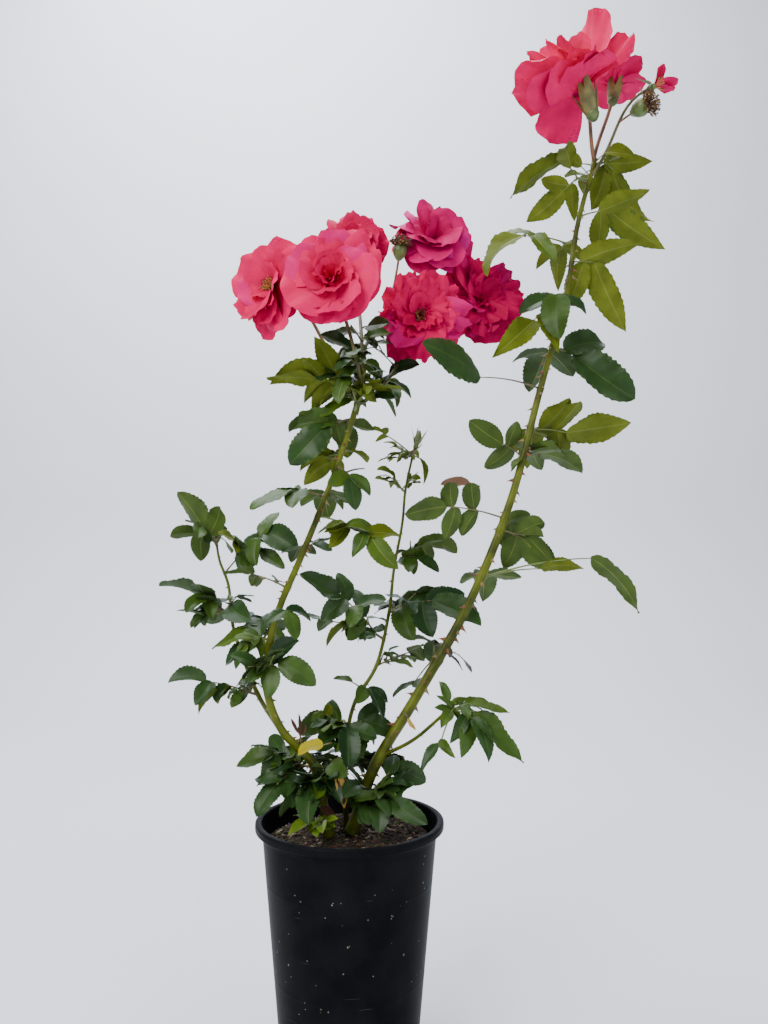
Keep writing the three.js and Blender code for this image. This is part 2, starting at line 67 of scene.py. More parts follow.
# The first seeds of what is drawn at random.
LEAF_SEED, LOOK_SEED, THORN_SEED, BRACT_SEED, BLOOM_SEED = 20, 500, 300, 700, 901
COLLAR_SEED, DEAD_SEED, DUST_SEED, BARK_SEED = 72, 611, 45, 77


# ---- small tools ----

def seeded(seed):
    """The source's generator: each call gives the next number from 0 to 1."""
    state = seed * 7919 + 1

    def draw():
        nonlocal state
        state = (state * 16807) % 2147483647
        return state / 2147483647
    return draw


def mix(a, b, t):
    return a + (b - a) * t


def unit(v):
    return v / np.linalg.norm(v)


def heading(compass, rise):
    """A unit vector from a compass bearing (0 = +X, 90 = +Y) and a rise, in degrees."""
    turn, lift = math.radians(compass), math.radians(rise)
    return np.array([
        math.cos(turn) * math.cos(lift), math.sin(turn) * math.cos(lift), math.sin(lift),
    ])


def tilted(axis, out, angle):
    """A direction tilted from axis towards out, in degrees."""
    lean = math.radians(angle)
    return axis * math.cos(lean) + out * math.sin(lean)


def outward(axis, angle):
    """A direction square to an axis, at an angle round it in degrees."""
    side = unit(np.cross(UP, axis))
    return tilted(side, np.cross(axis, side), angle)


def pick(choices, draw):
    """One of the choices, for a draw from 0 to 1."""
    return choices[int(draw * len(choices)) % len(choices)]


class Curve:
    """A curve walked at an even pace, from a function of its own parameter."""

    STEPS = 200

    def __init__(self, point):
        self.point = point
        self.marks = np.linspace(0, 1, self.STEPS + 1)
        places = np.array([point(t) for t in self.marks])
        strides = np.linalg.norm(np.diff(places, axis=0), axis=1)
        self.walked = np.concatenate([[0], np.cumsum(strides)])
        self.length = self.walked[-1]

    def at(self, share):
        return self.point(np.interp(share * self.length, self.walked, self.marks))

    def path(self, count):
        return [self.at(share) for share in np.linspace(0, 1, count)]


def quadratic(a, b, c):
    return Curve(lambda t: (1 - t) ** 2 * a + 2 * t * (1 - t) * b + t * t * c)


def cubic(a, b, c, d):
    return Curve(lambda t: (
        (1 - t) ** 3 * a + 3 * t * (1 - t) ** 2 * b + 3 * t * t * (1 - t) * c + t ** 3 * d
    ))


def spline(rows):
    """A centripetal Catmull-Rom curve through a few points."""
    points = [np.array(row, float) for row in rows]
    points = [2 * points[0] - points[1], *points, 2 * points[-1] - points[-2]]

    def point(t):
        place = t * (len(points) - 3)
        first = min(int(place), len(points) - 4)
        share = place - first
        p0, p1, p2, p3 = points[first:first + 4]
        d0, d1, d2 = (np.linalg.norm(b - a) ** 0.5 for a, b in ((p0, p1), (p1, p2), (p2, p3)))
        start = ((p1 - p0) / d0 - (p2 - p0) / (d0 + d1) + (p2 - p1) / d1) * d1
        end = ((p2 - p1) / d1 - (p3 - p1) / (d1 + d2) + (p3 - p2) / d2) * d1
        second = -3 * p1 + 3 * p2 - 2 * start - end
        third = 2 * p1 - 2 * p2 + start + end
        return p1 + start * share + second * share ** 2 + third * share ** 3
    return Curve(point)


# ---- materials ----

def material(name, colour, roughness, dark=0.75, light=1.2, size=60, bump=0.0, grain=400, **sockets):
    """A surface whose colour drifts between a darker and a lighter shade, with a fine bump."""
    made = bpy.data.materials.new(name)
    made.use_nodes = True
    nodes, links = made.node_tree.nodes, made.node_tree.links
    shader = nodes["Principled BSDF"]
    shader.inputs["Roughness"].default_value = roughness
    for socket, value in sockets.items():
        shader.inputs[socket.replace("_", " ")].default_value = value
    place = nodes.new("ShaderNodeTexCoord")

    def clouds(scale, detail):
        drift = nodes.new("ShaderNodeTexNoise")
        drift.inputs["Scale"].default_value = scale
        drift.inputs["Detail"].default_value = detail
        links.new(place.outputs["Object"], drift.inputs["Vector"])
        return drift.outputs["Fac"]

    shades = nodes.new("ShaderNodeValToRGB")
    for stop, position, level in zip(shades.color_ramp.elements, (0.35, 0.65), (dark, light)):
        stop.position = position
        stop.color = (*(min(1, c * level) for c in colour), 1)
    links.new(clouds(size, 3), shades.inputs["Fac"])
    links.new(shades.outputs["Color"], shader.inputs["Base Color"])
    if bump:
        relief = nodes.new("ShaderNodeBump")
        relief.inputs["Strength"].default_value = bump
        relief.inputs["Distance"].default_value = 0.001
        links.new(clouds(grain, 2), relief.inputs["Height"])
        links.new(relief.outputs["Normal"], shader.inputs["Normal"])
    return made


# ---- meshes ----

def linked(name, data):
    """A new object in the scene."""
    made = bpy.data.objects.new(name, data)
    bpy.context.collection.objects.link(made)
    return made


def smooth_mesh(name, points, faces, materials):
    mesh = bpy.data.meshes.new(name)
    mesh.from_pydata(points, [], faces)
    for each in materials:
        mesh.materials.append(each)
    mesh.polygons.foreach_set("use_smooth", [True] * len(faces))
    return mesh


class Batch:
    """Many small shapes gathered in millimetres and made into one piece in metres."""

    def __init__(self, name, slot, materials):
        self.name, self.slot, self.materials = name, slot, materials
        self.tone_of = {m.name: i for i, m in enumerate(materials)}
        self.points, self.faces, self.tones, self.total = [], [], [], 0

    def add(self, points, faces, tone):
        """tone is a material's name, or one name for each face."""
        self.points.append(points)
        for group in faces:
            self.faces.extend((group + self.total).tolist())
        count = sum(len(group) for group in faces)
        names = [tone] * count if isinstance(tone, str) else tone
        self.tones.extend(self.tone_of[n] for n in names)
        self.total += len(points)

    def blade(self, flat, rise, body, ups, front, back, flip=False):
        """Both sides of a thin blade: a grid of points, raised along ups and thick by body."""
        faces = weave(rise.shape[0] - 1, rise.shape[1] - 1)
        for side, tone in ((1, front), (-1, back)):
            sheet = flat + (rise + side * body)[..., None] * ups
            self.add(sheet.reshape(-1, 3), [faces[:, ::-1] if flip == (side > 0) else faces], tone)

    def make(self, *nodes):
        """The finished piece, which rides on the root and stands for these CAD nodes."""
        points = (np.concatenate(self.points) * MM).tolist()
        mesh = smooth_mesh(self.name, points, self.faces, self.materials)
        mesh.polygons.foreach_set("material_index", self.tones)
        mesh.update()
        piece = linked(self.name, mesh)
        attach(piece, "root")
        if nodes:
            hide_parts(*nodes)
        return piece


def weave(rows, columns, closed=False):
    """The quads of a grid of points, rows by columns, turned so that rows x columns is outward."""
    width = columns if closed else columns + 1
    row, column = np.mgrid[0:rows, 0:columns]
    here = row * width + column
    beside = row * width + (column + 1) % width
    return np.stack([here, here + width, beside + width, beside], -1).reshape(-1, 4)


def circle(sides):
    """Even steps once round a circle, in radians."""
    return np.linspace(0, 2 * np.pi, sides, endpoint=False)


def swept(angles, a, b):
    """For each angle, its cosine along a and its sine along b."""
    return np.outer(np.cos(angles), a) + np.outer(np.sin(angles), b)


def fan(middle, first, sides):
    """The triangles between a middle point and a ring of points."""
    ring = np.arange(sides)
    return np.stack([np.full(sides, middle), first + ring, first + (ring + 1) % sides], -1)


def tube(path, radii, sides=6):
    """Rings round a path, with a point at the middle of each end."""
    path = np.asarray(path, float)
    ways = np.gradient(path, axis=0)
    ways /= np.linalg.norm(ways, axis=1, keepdims=True)
    side = unit(np.cross(ways[0], heading(37, 11)))
    rings = []
    for place, way, radius in zip(path, ways, radii):
        side = unit(side - way * np.dot(side, way))
        rings.append(place + swept(circle(sides), side, np.cross(way, side)) * np.reshape(radius, (-1, 1)))
    count = len(path)
    total = count * sides
    walls = weave(count - 1, sides, closed=True)[:, ::-1]
    ends = [fan(total, 0, sides)[:, ::-1], fan(total + 1, total - sides, sides)]
    return np.concatenate([*rings, path[:1], path[-1:]]), [walls, *ends]


def turned(profile, sides, axis=UP, origin=(0, 0, 0)):
    """A closed profile of [radius, height] turned round an axis."""
    side = unit(np.cross(axis, heading(13, 7)))
    ring = swept(circle(sides), side, np.cross(axis, side))
    rings = [np.asarray(origin) + ring * radius + axis * height for radius, height in profile]
    return np.concatenate(rings), [weave(len(profile) - 1, sides, closed=True)[:, ::-1]]


def hip(batch, place, axis, profile, size, tone="hip"):
    """A hip or bud of a given size: wide and tall, and how far it hangs below its place."""
    wide, tall, drop = size
    batch.add(*turned([[r * wide, h * tall - drop] for r, h in profile], HIP_SIDES, axis, place), tone)


# ---- canes ----

# Each cane: its points, foot and tip radius, and its thorns: spacing and length.
CANES = {
    "cane_right": ([
        [2, 5, FOOT], [25, 5, 300], [68, 10, 370], [131, 20, 477], [180, 32, 591],
        [217, 42, 719], [252, 50, 839], [268, 54, 926], [292, 58, 1010],
    ], 6.8, 2.6, 8.5, 9.5),
    "cane_left": ([
        [-22, -4, FOOT], [-38, -10, 306], [-72, -14, 345], [-87, -20, 386], [-87, -25, 416],
        [-74, -33, 471], [-51, -41, 525], [-21, -48, 598], [4, -54, 671], [16, -58, 722],
    ], 5.2, 2.5, 8.5, 7.5),
    "cane_middle": ([
        [-5, 22, FOOT], [-6, 24, 320], [4, 30, 367], [27, 40, 404], [42, 52, 464],
        [48, 60, 515], [58, 68, 569], [62, 73, 609], [71, 78, 652],
    ], 2.8, 1.4, 14, 5.0),
    "cane_thin": ([
        [-73, -13, 344], [-99, 10, 374], [-116, 24, 405], [-135, 38, 452], [-143, 50, 497],
        [-155, 56, 526], [-160, 60, 549],
    ], 2.9, 1.4, 11, 5.5),
    "branch_low": ([
        [34, 5, 314], [64, -12, 332], [91, -36, 359], [105, -54, 377],
    ], 2.3, 1.6, 26, 4.0),
}
SPROUTS = ("cane_thin", "branch_low")
CANE_STEP = 3
FLARE_HEIGHT = 30
JOINT_SPREAD = 3.2
THORNLESS_FOOT = 24.0
THORNLESS_TIP = 12
CURVES = {name: spline(row[0]) for name, row in CANES.items()}


def point_at(name, height):
    """The point of a cane at a given height."""
    low, high = 0.0, 1.0
    for _ in range(30):
        middle = (low + high) / 2
        if CURVES[name].at(middle)[2] < height:
            low = middle
        else:
            high = middle
    return CURVES[name].at(low)


def cane_radius(name, share):
    """A cane tapers, and one that stands in the soil flares at its foot."""
    _, foot, tip, _, _ = CANES[name]
    flare = 0 if name in SPROUTS else foot * 0.4
    above = share * CURVES[name].length / FLARE_HEIGHT
    return mix(foot, tip, share ** 0.9) + flare * max(0, 1 - above) ** 2


def cane_mesh(batch, name, joints):
    """A cane with low ridges, a rough foot and a swelling at each joint where a shoot leaves it."""
    curve = CURVES[name]
    steps = int(curve.length / CANE_STEP)
    sides = 20 if cane_radius(name, 0) > 4 else 12
    angles = circle(sides)
    sharp = 0.12 if name in SPROUTS else 0.16
    path, radii = curve.path(steps + 1), []
    for share, place in zip(np.linspace(0, 1, steps + 1), path):
        ridges = 0.025 * np.sin(3 * angles + share * 9) + 0.015 * np.sin(7 * angles - share * 14)
        swelling = sum(math.exp(-((place[2] - joint) / JOINT_SPREAD) ** 2) for joint in joints)
        wander = 0.05 * noise.noise(Vector(place) * 0.05)
        radii.append(cane_radius(name, share) * (0.96 + ridges + wander + sharp * min(1, swelling)))
    batch.add(*tube(path, radii, sides), "cane_green")


def thorn(batch, root, out, along, length, tone):
    """A thorn: a flat wide foot that narrows to a point bent down the cane."""
    across = unit(np.cross(along, out))
    rows, sides = 6, 8
    rings = []
    for share in np.linspace(0, 1, rows):
        centre = root + out * length * (share - 0.12) - along * length * 0.42 * share ** 1.7
        tall = length * 0.36 * (1 - share) ** 1.5 + 0.05
        wide = length * 0.14 * (1 - share) ** 0.9 + 0.05
        rings.append(centre + swept(circle(sides), along * tall, across * wide))
    points = np.concatenate([*rings, rings[-1].mean(0, keepdims=True)])
    tip = fan(rows * sides, (rows - 1) * sides, sides)
    batch.add(points, [weave(rows - 1, sides, closed=True), tip], tone)


def thorns(batch, name, seed):
    """The thorns of a cane, red or tan and smaller near its tip."""
    _, _, _, spacing, length = CANES[name]
    curve = CURVES[name]
    random = seeded(seed)
    walked = THORNLESS_FOOT
    while walked < curve.length - THORNLESS_TIP:
        share = walked / curve.length
        here, ahead = curve.at(share), curve.at(min(1, share + 0.004))
        along = unit(ahead - here)
        side = unit(np.cross(along, heading(360 * random(), 0)))
        size = length * mix(0.55, 1.1, random()) * (1 if share < 0.85 else 0.6)
        tone = "thorn_red" if random() < 0.6 else "thorn_tan"
        thorn(batch, here + side * cane_radius(name, share) * 0.9, side, along, size, tone)
        walked += spacing * mix(0.5, 1.5, random())


# ---- compound leaves ----

LEAF_ROWS = 24
SMALL_LEAF = 28
LEAF_ROOT = 0.6
LEAF_WIDTHS = np.array([-1, -0.74, -0.4, -0.035, 0.035, 0.4, 0.74, 1])
VEINS = 6
# How near to the solid model a stalk and a blade have to lie, and how far a mass's box is drawn in.
STALK_REACH = 2.5
BLADE_REACH = 4
BOX_INSET = 3
# Each tone: its upper sides, underside and rib, its breadth, and how sharply a blade narrows to its tip.
TONES = {
    "dark": (["leaf_dark", "leaf_deep", "leaf_dark", "leaf_mid"], "under_dark", "rib_green", 1.14, 0.72),
    "mid": (["leaf_mid", "leaf_dark", "leaf_mid", "leaf_light"], "under_mid", "rib_green", 1.12, 0.72),
    "lance": (["leaf_mid", "leaf_dark", "leaf_light"], "under_mid", "rib_green", 0.74, 1.0),
    "light": (["leaf_light", "leaf_mid", "leaf_olive"], "under_olive_lit_through", "rib_pale", 1.0, 0.9),
    # Olive leaves are paler and yellower: partly their own colour and partly painted light shining through
    # them.
    "olive": (["leaf_olive", "leaf_light", "leaf_olive"], "under_olive_lit_through", "rib_pale", 0.8, 1.05),
    "young": (["leaf_young"], "under_olive_lit_through", "rib_pale", 1.0, 0.9),
    "yellow": (["leaf_yellow"], "leaf_yellow", "rib_pale", 1.0, 0.72),
    "brown": (["leaf_brown"], "leaf_brown", "leaf_brown", 1.0, 0.72),
    "tan": (["leaf_tan"], "leaf_tan", "rib_pale", 1.0, 0.72),
    "withered": (["leaf_withered"], "leaf_withered", "leaf_withered", 1.0, 0.72),
}


def leaflet(batch, root, direction, normal, length, half_width, random, tone):
    """One serrated leaflet: bent along its length, folded and puckered, and closed at its edge."""
    tops, underside, top_rib, _, tip = TONES[tone]
    across = unit(np.cross(normal, direction))
    lift = np.cross(direction, across)
    rows = LEAF_ROWS if length > SMALL_LEAF else LEAF_ROWS // 2
    u = np.linspace(0, 1, rows + 1)
    pitch = np.radians(mix(4, 46, random()) + 24 * (tone == "olive")) * (u - 0.35)
    yaw = np.radians(mix(-38, 38, random())) * (u - 0.4)
    twist = (np.radians(mix(-30, 30, random())) * u)[:, None]
    ways = (np.outer(np.cos(pitch) * np.cos(yaw), direction) + np.outer(np.sin(yaw), across)
            - np.outer(np.sin(pitch) * np.cos(yaw), lift))
    strides = (ways[:-1] + ways[1:]) * length / rows / 2
    middle = root + np.concatenate([np.zeros((1, 3)), np.cumsum(strides, 0)])
    sides = np.cross(swept(pitch, lift, direction), ways)
    sides /= np.linalg.norm(sides, axis=1, keepdims=True)
    ups = np.cross(ways, sides)
    sides, ups = (
        sides * np.cos(twist) + ups * np.sin(twist), ups * np.cos(twist) - sides * np.sin(twist)
    )
    fold = math.radians(mix(6, 30, random()))
    curl = mix(-0.3, 0.25, random())
    wave = mix(0, 2 * np.pi, random())
    ripples = mix(0.01, 0.035, random())
    u = u[:, None]
    v = LEAF_WIDTHS[None, :]
    widest = LEAF_ROOT / (LEAF_ROOT + tip)
    most = widest ** LEAF_ROOT * (1 - widest) ** tip
    outline = u ** LEAF_ROOT * (1 - u) ** tip / most + 0.01
    teeth = np.where(np.abs(v) == 1, 0.04 * (-1) ** np.arange(rows + 1)[:, None], 0)
    width = length * half_width * outline * (1 + teeth)
    veins = np.sin(2 * np.pi * (VEINS * u - 0.9 * np.abs(v)))
    pucker = 0.009 * length * veins * np.abs(v) * (1 - u) ** 0.4 * (0.25 + outline)
    ripple = ripples * length * v ** 2 * np.sin(3.2 * np.pi * u + wave + np.sign(v))
    rise = np.abs(v) * width * math.sin(fold) + curl * width * v ** 2 + pucker + ripple
    flat = middle[:, None, :] + (v * width * math.cos(fold))[..., None] * sides[:, None, :]
    body = 0.25 * (1 - np.abs(v) ** 3) * np.minimum(1, 8 * (1 - u))
    half = [pick(tops, random())] * 3
    under = [underside] * 3
    batch.blade(flat, rise, body, ups[:, None, :], (half + [top_rib] + half) * rows,
                (under + ["rib_pale"] + under) * rows)


def upper_side(direction, turn):
    """The upper side of a leaf that points along direction, rolled towards the front."""
    side = unit(np.cross(UP, direction))
    return tilted(np.cross(direction, side), -side if side[1] > 0 else side, turn)


def stalk_curve(start, leaf):
    compass, rise, reach = leaf[:3]
    end = start + heading(compass, rise) * reach
    return quadratic(start, (start + end) / 2 + UP * reach * 0.08, end)


def on_solid(node):
    """Keeps a part of a leaf only where its points lie near a CAD node's own surface."""
    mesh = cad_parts[node].data
    corners = [v.co.copy() for v in mesh.vertices]
    tree = BVHTree.FromPolygons(corners, [list(p.vertices) for p in mesh.polygons])
    return lambda places, most: all(
        tree.find_nearest(Vector(place) * MM, most * MM)[0] is not None for place in places
    )


def in_box(node):
    """Keeps a part of a leaf only inside a CAD node's own box, drawn in a little."""
    corners = np.array([v.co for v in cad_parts[node].data.vertices]) / MM
    low, high = corners.min(0) + BOX_INSET, corners.max(0) - BOX_INSET
    return lambda places, most: all((place > low).all() and (place < high).all() for place in places)


def compound_leaf(start, leaf, random, fits, batches, look, tone, slim):
    """A leaf as in the source, with each of its parts kept where it fits."""
    compass, rise, reach, size, pairs, droop, turn = leaf[:7]
    curve = stalk_curve(start, leaf)
    if not fits([curve.at(0.6), curve.at(0.88)], STALK_REACH):
        return
    blades, twigs = batches
    path = curve.path(9)
    twigs.add(*tube(path, np.linspace(1.15, 0.6, 9)), look_of_stalk(tone))
    tip = heading(compass, rise - droop)

    def place(half_width, origin, direction, normal, length):
        root = origin - direction * ROOT_DEPTH
        if fits([root + direction * length * share for share in (0.3, 0.6)], BLADE_REACH):
            leaflet(blades, root, direction, normal, length, half_width * slim, look, tone)

    place(0.26, path[-1], tip, upper_side(tip, turn), size)
    spread = heading(compass, rise - droop * 0.7)
    upper = upper_side(spread, turn)
    left = unit(np.cross(upper, spread))
    for pair in range(pairs):
        back = size * (0.16 + 0.5 * pair)
        share = max(0.3 - 0.1 * pair, 1 - back / reach)
        for hand in (-1, 1):
            root = curve.at(min(share, 0.9) + hand * HAND_STAGGER / 2 / reach)
            direction = tilted(spread, left * hand, mix(50, 78, random()))
            length = size * mix(0.68, 0.85, random()) * 0.88 ** pair
            sag = mix(-0.05, 0.35, random())
            place(0.27, root, unit(direction - UP * sag), upper, length)
            if pair == 0:
                stipule = [path[0] + unit(direction * 0.5 + spread) * step for step in (0, 3, 6)]
                twigs.add(*tube(stipule, [0.8, 0.5, 0.12], 5), look_of_stalk(tone))


def breadth_of(tone):
    return TONES[tone][3]


def look_of_stalk(tone):
    return "stalk_red" if tone in ("dark", "mid") else "stalk_green"


# ---- leaf masses ----

def on_cane(cane, prefix, rows):
    """The full rows of one cane's leaf masses."""
    return [[f"{prefix}{name}", cane, *rest] for name, *rest in rows]


# Each mass: its name, cane, height on it, its shoot's bearing, rise and length, its tone and leaves.
# Each leaf: bearing, rise, reach, size, pairs, droop, turn and, where it isn't the mass's, its tone.
NONE = [0, 0, 0]
SHOOTS = [
    *on_cane("cane_right", "leaves_right_", [
        ["tip", 1000, [20, 35, 14], "olive", [25, -20, 20, 88, 1, 30, -60], [10, 50, 12, 36, 0, 50, -30]],
        [1, 982, [180, 10, 14], "olive", [-170, 50, 28, 92, 1, 85, -25], [175, -40, 22, 65, 1, 0, -55]],
        [2, 936, NONE, "olive", [18, 18, 44, 88, 1, 45, -45]],
        [3, 905, [130, 10, 14], "olive", [-146, -6, 66, 90, 1, 32, 30], [85, 10, 36, 60, 1, 45, 0]],
        [4, 879, NONE, "olive", [15, 5, 30, 95, 1, 70, -75]],
        [5, 827, [-140, 0, 14], "olive", [-148, -38, 46, 78, 1, 2, 55],
         [-100, 5, 20, 60, 1, 75, 0, "dark"]],
        [6, 776, [60, 0, 14], "dark", [-15, -25, 22, 90, 1, 15, 60], [100, 5, 36, 66, 1, 35, 0]],
        [7, 724, NONE, "dark", [-144, 0, 95, 84, 0, -20, 68]],
        [8, 678, [60, 0, 14], "light", [5, -5, 38, 80, 2, -15, -40], [85, 5, 40, 62, 1, 40, 0]],
        [9, 647, [95, 0, 14], "mid", [175, 35, 25, 50, 1, 0, -60], [15, 5, 25, 60, 1, 20, -20]],
        [10, 572, NONE, "mid", [-165, 10, 70, 52, 2, 20, -60]],
        [11, 560, [80, 0, 15], "mid", [55, 25, 25, 45, 1, 75, -50], [15, -20, 28, 55, 1, 20, -50]],
        [12, 505, [60, 5, 14], "mid", [-5, 10, 120, 82, 0, 55, -40, "lance"],
         [-5, 8, 64, 50, 0, 2, -50, "olive"], [85, 5, 40, 56, 1, 40, 0]],
        [13, 415, [100, 5, 14], "dark", [25, 10, 25, 35, 1, 50, 20], [90, 45, 25, 40, 1, 90, 20],
         [160, -50, 40, 30, 1, -20, -20]],
    ]),
    *on_cane("cane_left", "leaves_left_", [
        ["tip", 687, [115, 40, 14], "olive", [-172, 42, 32, 70, 1, 45, -50], [130, 50, 25, 35, 1, 40, 20],
         [60, 45, 25, 34, 1, 40, -20]],
        ["front", 677, [-75, 40, 12], "light", [-115, 50, 30, 40, 1, 100, 0],
         [-30, 40, 24, 36, 1, 50, 10]],
        [1, 671, [110, 5, 12], "mid", [-160, -20, 25, 60, 1, 25, 60], [95, 0, 36, 46, 1, 40, 0]],
        [2, 637, [100, 10, 12], "light", [150, -40, 18, 42, 1, -10, -60], [60, 5, 25, 32, 1, 20, 10]],
        [3, 622, NONE, "mid", [-65, -25, 40, 36, 1, 45, 0]],
        [4, 590, [110, 5, 12], "mid", [-155, 10, 35, 50, 1, 35, 10], [90, 10, 40, 46, 1, 40, 0]],
        [5, 570, NONE, "light", [-25, -20, 65, 46, 2, 30, 50]],
        [6, 535, [70, 20, 12], "dark", [40, 20, 14, 30, 1, 10, 10], [115, 0, 30, 32, 1, 30, 10]],
        [7, 495, NONE, "mid", [170, 20, 45, 30, 2, 20, -30]],
        [8, 440, [130, 5, 12], "mid", [160, 15, 15, 54, 1, 30, 40], [165, -40, 15, 42, 0, -15, 40],
         [90, 15, 40, 42, 1, 45, 40]],
        [9, 470, NONE, "dark", [-60, 5, 25, 36, 1, 55, 0]],
        [10, 410, [-80, 10, 12], "dark", [-15, 25, 15, 48, 1, 50, 60], [-150, 5, 10, 34, 1, -25, 60]],
    ]),
    *on_cane("cane_thin", "leaves_thin_", [
        [1, 378, [-150, 15, 9], "dark", [-175, 15, 50, 42, 3, 12, 40], [-60, 50, 18, 22, 0, 20, 20]],
        [2, 465, [-165, 10, 9], "dark", [172, 35, 25, 60, 2, 15, -30], [-55, 20, 20, 48, 0, 35, 40],
         [-170, -15, 20, 34, 1, -30, 0]],
        [3, 510, NONE, "dark", [-25, 40, 70, 50, 2, 60, 60]],
        ["tip", 543, [170, 60, 8], "mid", [172, 45, 15, 58, 1, -10, -60], [60, 10, 12, 30, 0, 45, 30]],
    ]),
    *on_cane("cane_middle", "leaves_middle_", [
        ["tip", 646, [60, 60, 6], "olive", [-168, 35, 45, 26, 1, 20, -20], [35, -15, 10, 34, 0, 55, 20],
         [130, -10, 15, 30, 0, -60, -20]],
        [1, 607, [120, 20, 8], "light", [150, 55, 20, 28, 1, 25, -20], [55, 35, 20, 26, 0, 15, 20]],
        [2, 520, NONE, "mid", [15, 35, 45, 44, 2, 45, -40]],
        [3, 465, [50, 10, 10], "dark", [-20, 15, 48, 64, 2, 40, 50], [85, 15, 38, 44, 1, 40, 0]],
        [4, 435, [-150, 30, 10], "dark", [-155, 45, 65, 54, 2, 20, 60], [175, 15, 65, 34, 1, 0, -30]],
        [5, 405, NONE, "mid", [10, 20, 50, 36, 2, -5, -30]],
        [6, 380, [-90, 20, 8], "dark", [165, 30, 12, 24, 0, 20, 0], [-45, 0, 15, 38, 1, 55, 0]],
    ]),
    ["leaves_low", "branch_low", 370, [-35, 20, 8], "lance", [-20, 20, 20, 42, 1, 30, 20],
     [-30, 0, 28, 66, 1, 45, 40], [-50, -10, 28, 48, 1, 45, 30], [110, 30, 12, 30, 1, -15, 20],
     [-150, -65, 36, 36, 1, -20, 20]],
    ["foot_middle", "cane_middle", 332, [-90, 30, 10], "dark", [165, 40, 20, 46, 1, 60, 60],
     [0, 35, 22, 42, 2, 55, 60], [-85, 20, 25, 44, 1, 75, 0]],
    ["foot_left", "cane_left", 306, [-150, 10, 12], "dark", [175, 20, 35, 44, 2, 40, 50],
     [-140, -20, 32, 42, 1, 25, 30]],
    ["foot_left_front", "cane_left", 275, [-80, 30, 12], "dark", [-105, 38, 26, 46, 1, 85, 0],
     [-60, 60, 40, 34, 0, 70, 40]],
    ["foot_right_front", "cane_right", 264, [-70, 25, 14], "dark", [-115, 55, 24, 36, 1, 60, 20],
     [-35, 10, 32, 50, 2, 30, 30], [15, 45, 40, 44, 1, 60, 50]],
    ["foot_new", "cane_left", 246, [-110, 35, 14], "young", [-125, 5, 24, 30, 1, 15, 20],
     [-85, 10, 32, 26, 1, 15, 30]],
    ["foot_back", "cane_middle", 285, [90, 25, 12], "dark", [80, 30, 35, 48, 1, 50, 0],
     [140, 20, 40, 46, 1, 40, 0], [30, 25, 40, 46, 1, 40, 0]],
]


def fillers_of(name):
    """How many small leaves a mass carries beside those of the solid model."""
    if name.startswith("foot"):
        return 14
    if name.startswith(("leaves_thin", "leaves_left", "leaves_middle")):
        return 6
    return 2 if name in ("leaves_right_9", "leaves_right_11", "leaves_right_13", "leaves_low") else 0


def tone_near(tone, draw):
    """Mostly a mass's own tone, with some lighter leaves among the dark ones: partly a real mix of tones
    and partly painted light on leaf tops lit from above.
    """
    if tone == "dark" and draw > 0.72:
        return "light" if draw > 0.86 else "mid"
    return tone


def leaf_mass(index, row, batches):
    """A mass's main leaves, its shoot, and small leaves kept inside the mass's own box."""
    name, cane, height, stem, tone, *leaves = row
    random, look = seeded(index + LEAF_SEED), seeded(index + LOOK_SEED)
    start = point_at(cane, height)
    top = start + heading(*stem[:2]) * stem[2]
    fits = on_solid(name)
    for leaf in leaves:
        own = leaf[7] if len(leaf) > 7 else tone
        compound_leaf(top, leaf, random, fits, batches, look, own, breadth_of(own))
    if stem[2] > 0:
        path = [start + (top - start) * t for t in np.linspace(0, 1, 4)]
        batches[1].add(*tube(path, np.linspace(1.9, 1.4, 4)), look_of_stalk(tone))
    inside = in_box(name)
    for _ in range(fillers_of(name)):
        leaf = pick(leaves, look())
        fork = stalk_curve(top, leaf).at(mix(0.05, 0.7, look()))
        small = [
            leaf[0] + mix(-110, 110, look()), mix(-20, 50, look()), mix(10, 26, look()),
            leaf[3] * mix(0.5, 0.82, look()), 1 + int(look() * 2), mix(0, 50, look()),
            mix(-50, 50, look()),
        ]
        own = tone_near(tone, look())
        compound_leaf(fork, small, look, inside, batches, look, own, breadth_of(tone))


# ---- blooms ----

# Rings of petals from the outside in: count, opening from the axis, length share, width share and,
# for a petal with a place of its own, its turn round the axis and its twist about its own length.
ROSE = [[5, 90, 1.0, 1.12], [5, 76, 0.94, 1.05], [5, 62, 0.8, 0.95], [4, 48, 0.66, 0.9],
        [4, 34, 0.54, 0.85], [4, 20, 0.42, 0.8]]
OPEN = [[6, 92, 1.0, 1.0], [6, 77, 0.95, 0.95], [5, 62, 0.8, 0.9], [4, 48, 0.6, 0.8]]
RUFFLED = [[9, 92, 1.0, 0.68], [9, 81, 0.96, 0.66], [9, 70, 0.88, 0.64], [8, 59, 0.76, 0.64],
           [7, 48, 0.6, 0.62], [6, 38, 0.44, 0.6], [5, 30, 0.28, 0.8]]
LOOSE = [[5, 96, 1.0, 1.0], [5, 78, 0.98, 1.0], [5, 60, 0.92, 0.98], [4, 42, 0.8, 0.95],
         [3, 24, 0.66, 0.9]]
SPRAWLING = [
    [1, 74, 1.19, 0.7, 270, 15], [1, 86, 0.8, 0.9, 305, 20], [1, 125, 1.05, 0.72, 240, 32],
    [1, 61, 1.25, 0.42, 95, 55], [1, 75, 0.65, 1.2, 350, 0], [1, 60, 0.9, 1.0, 225, 30],
    [1, 40, 1.0, 0.95, 205, -40], [1, 25, 1.17, 0.42, 256, 25], [1, 44, 1.17, 0.3, 266, 10],
    [1, 34, 1.58, 0.36, 105, 30], [1, 22, 1.1, 0.46, 120, 0], [1, 8, 1.05, 0.42, 200, 0],
    [1, 90, 1.1, 0.6, 285, 20], [1, 72, 0.7, 1.1, 45, -10], [1, 60, 0.8, 1.0, 150, 0],
    [1, 52, 0.66, 1.1, 320, 0], [1, 30, 0.6, 1.1, 60, -10], [1, 28, 0.7, 1.0, 180, 0],
    [1, 70, 0.9, 0.9, 250, 20], [5, 56, 0.62, 0.8], [4, 38, 0.58, 0.8], [3, 22, 0.56, 0.7],
]
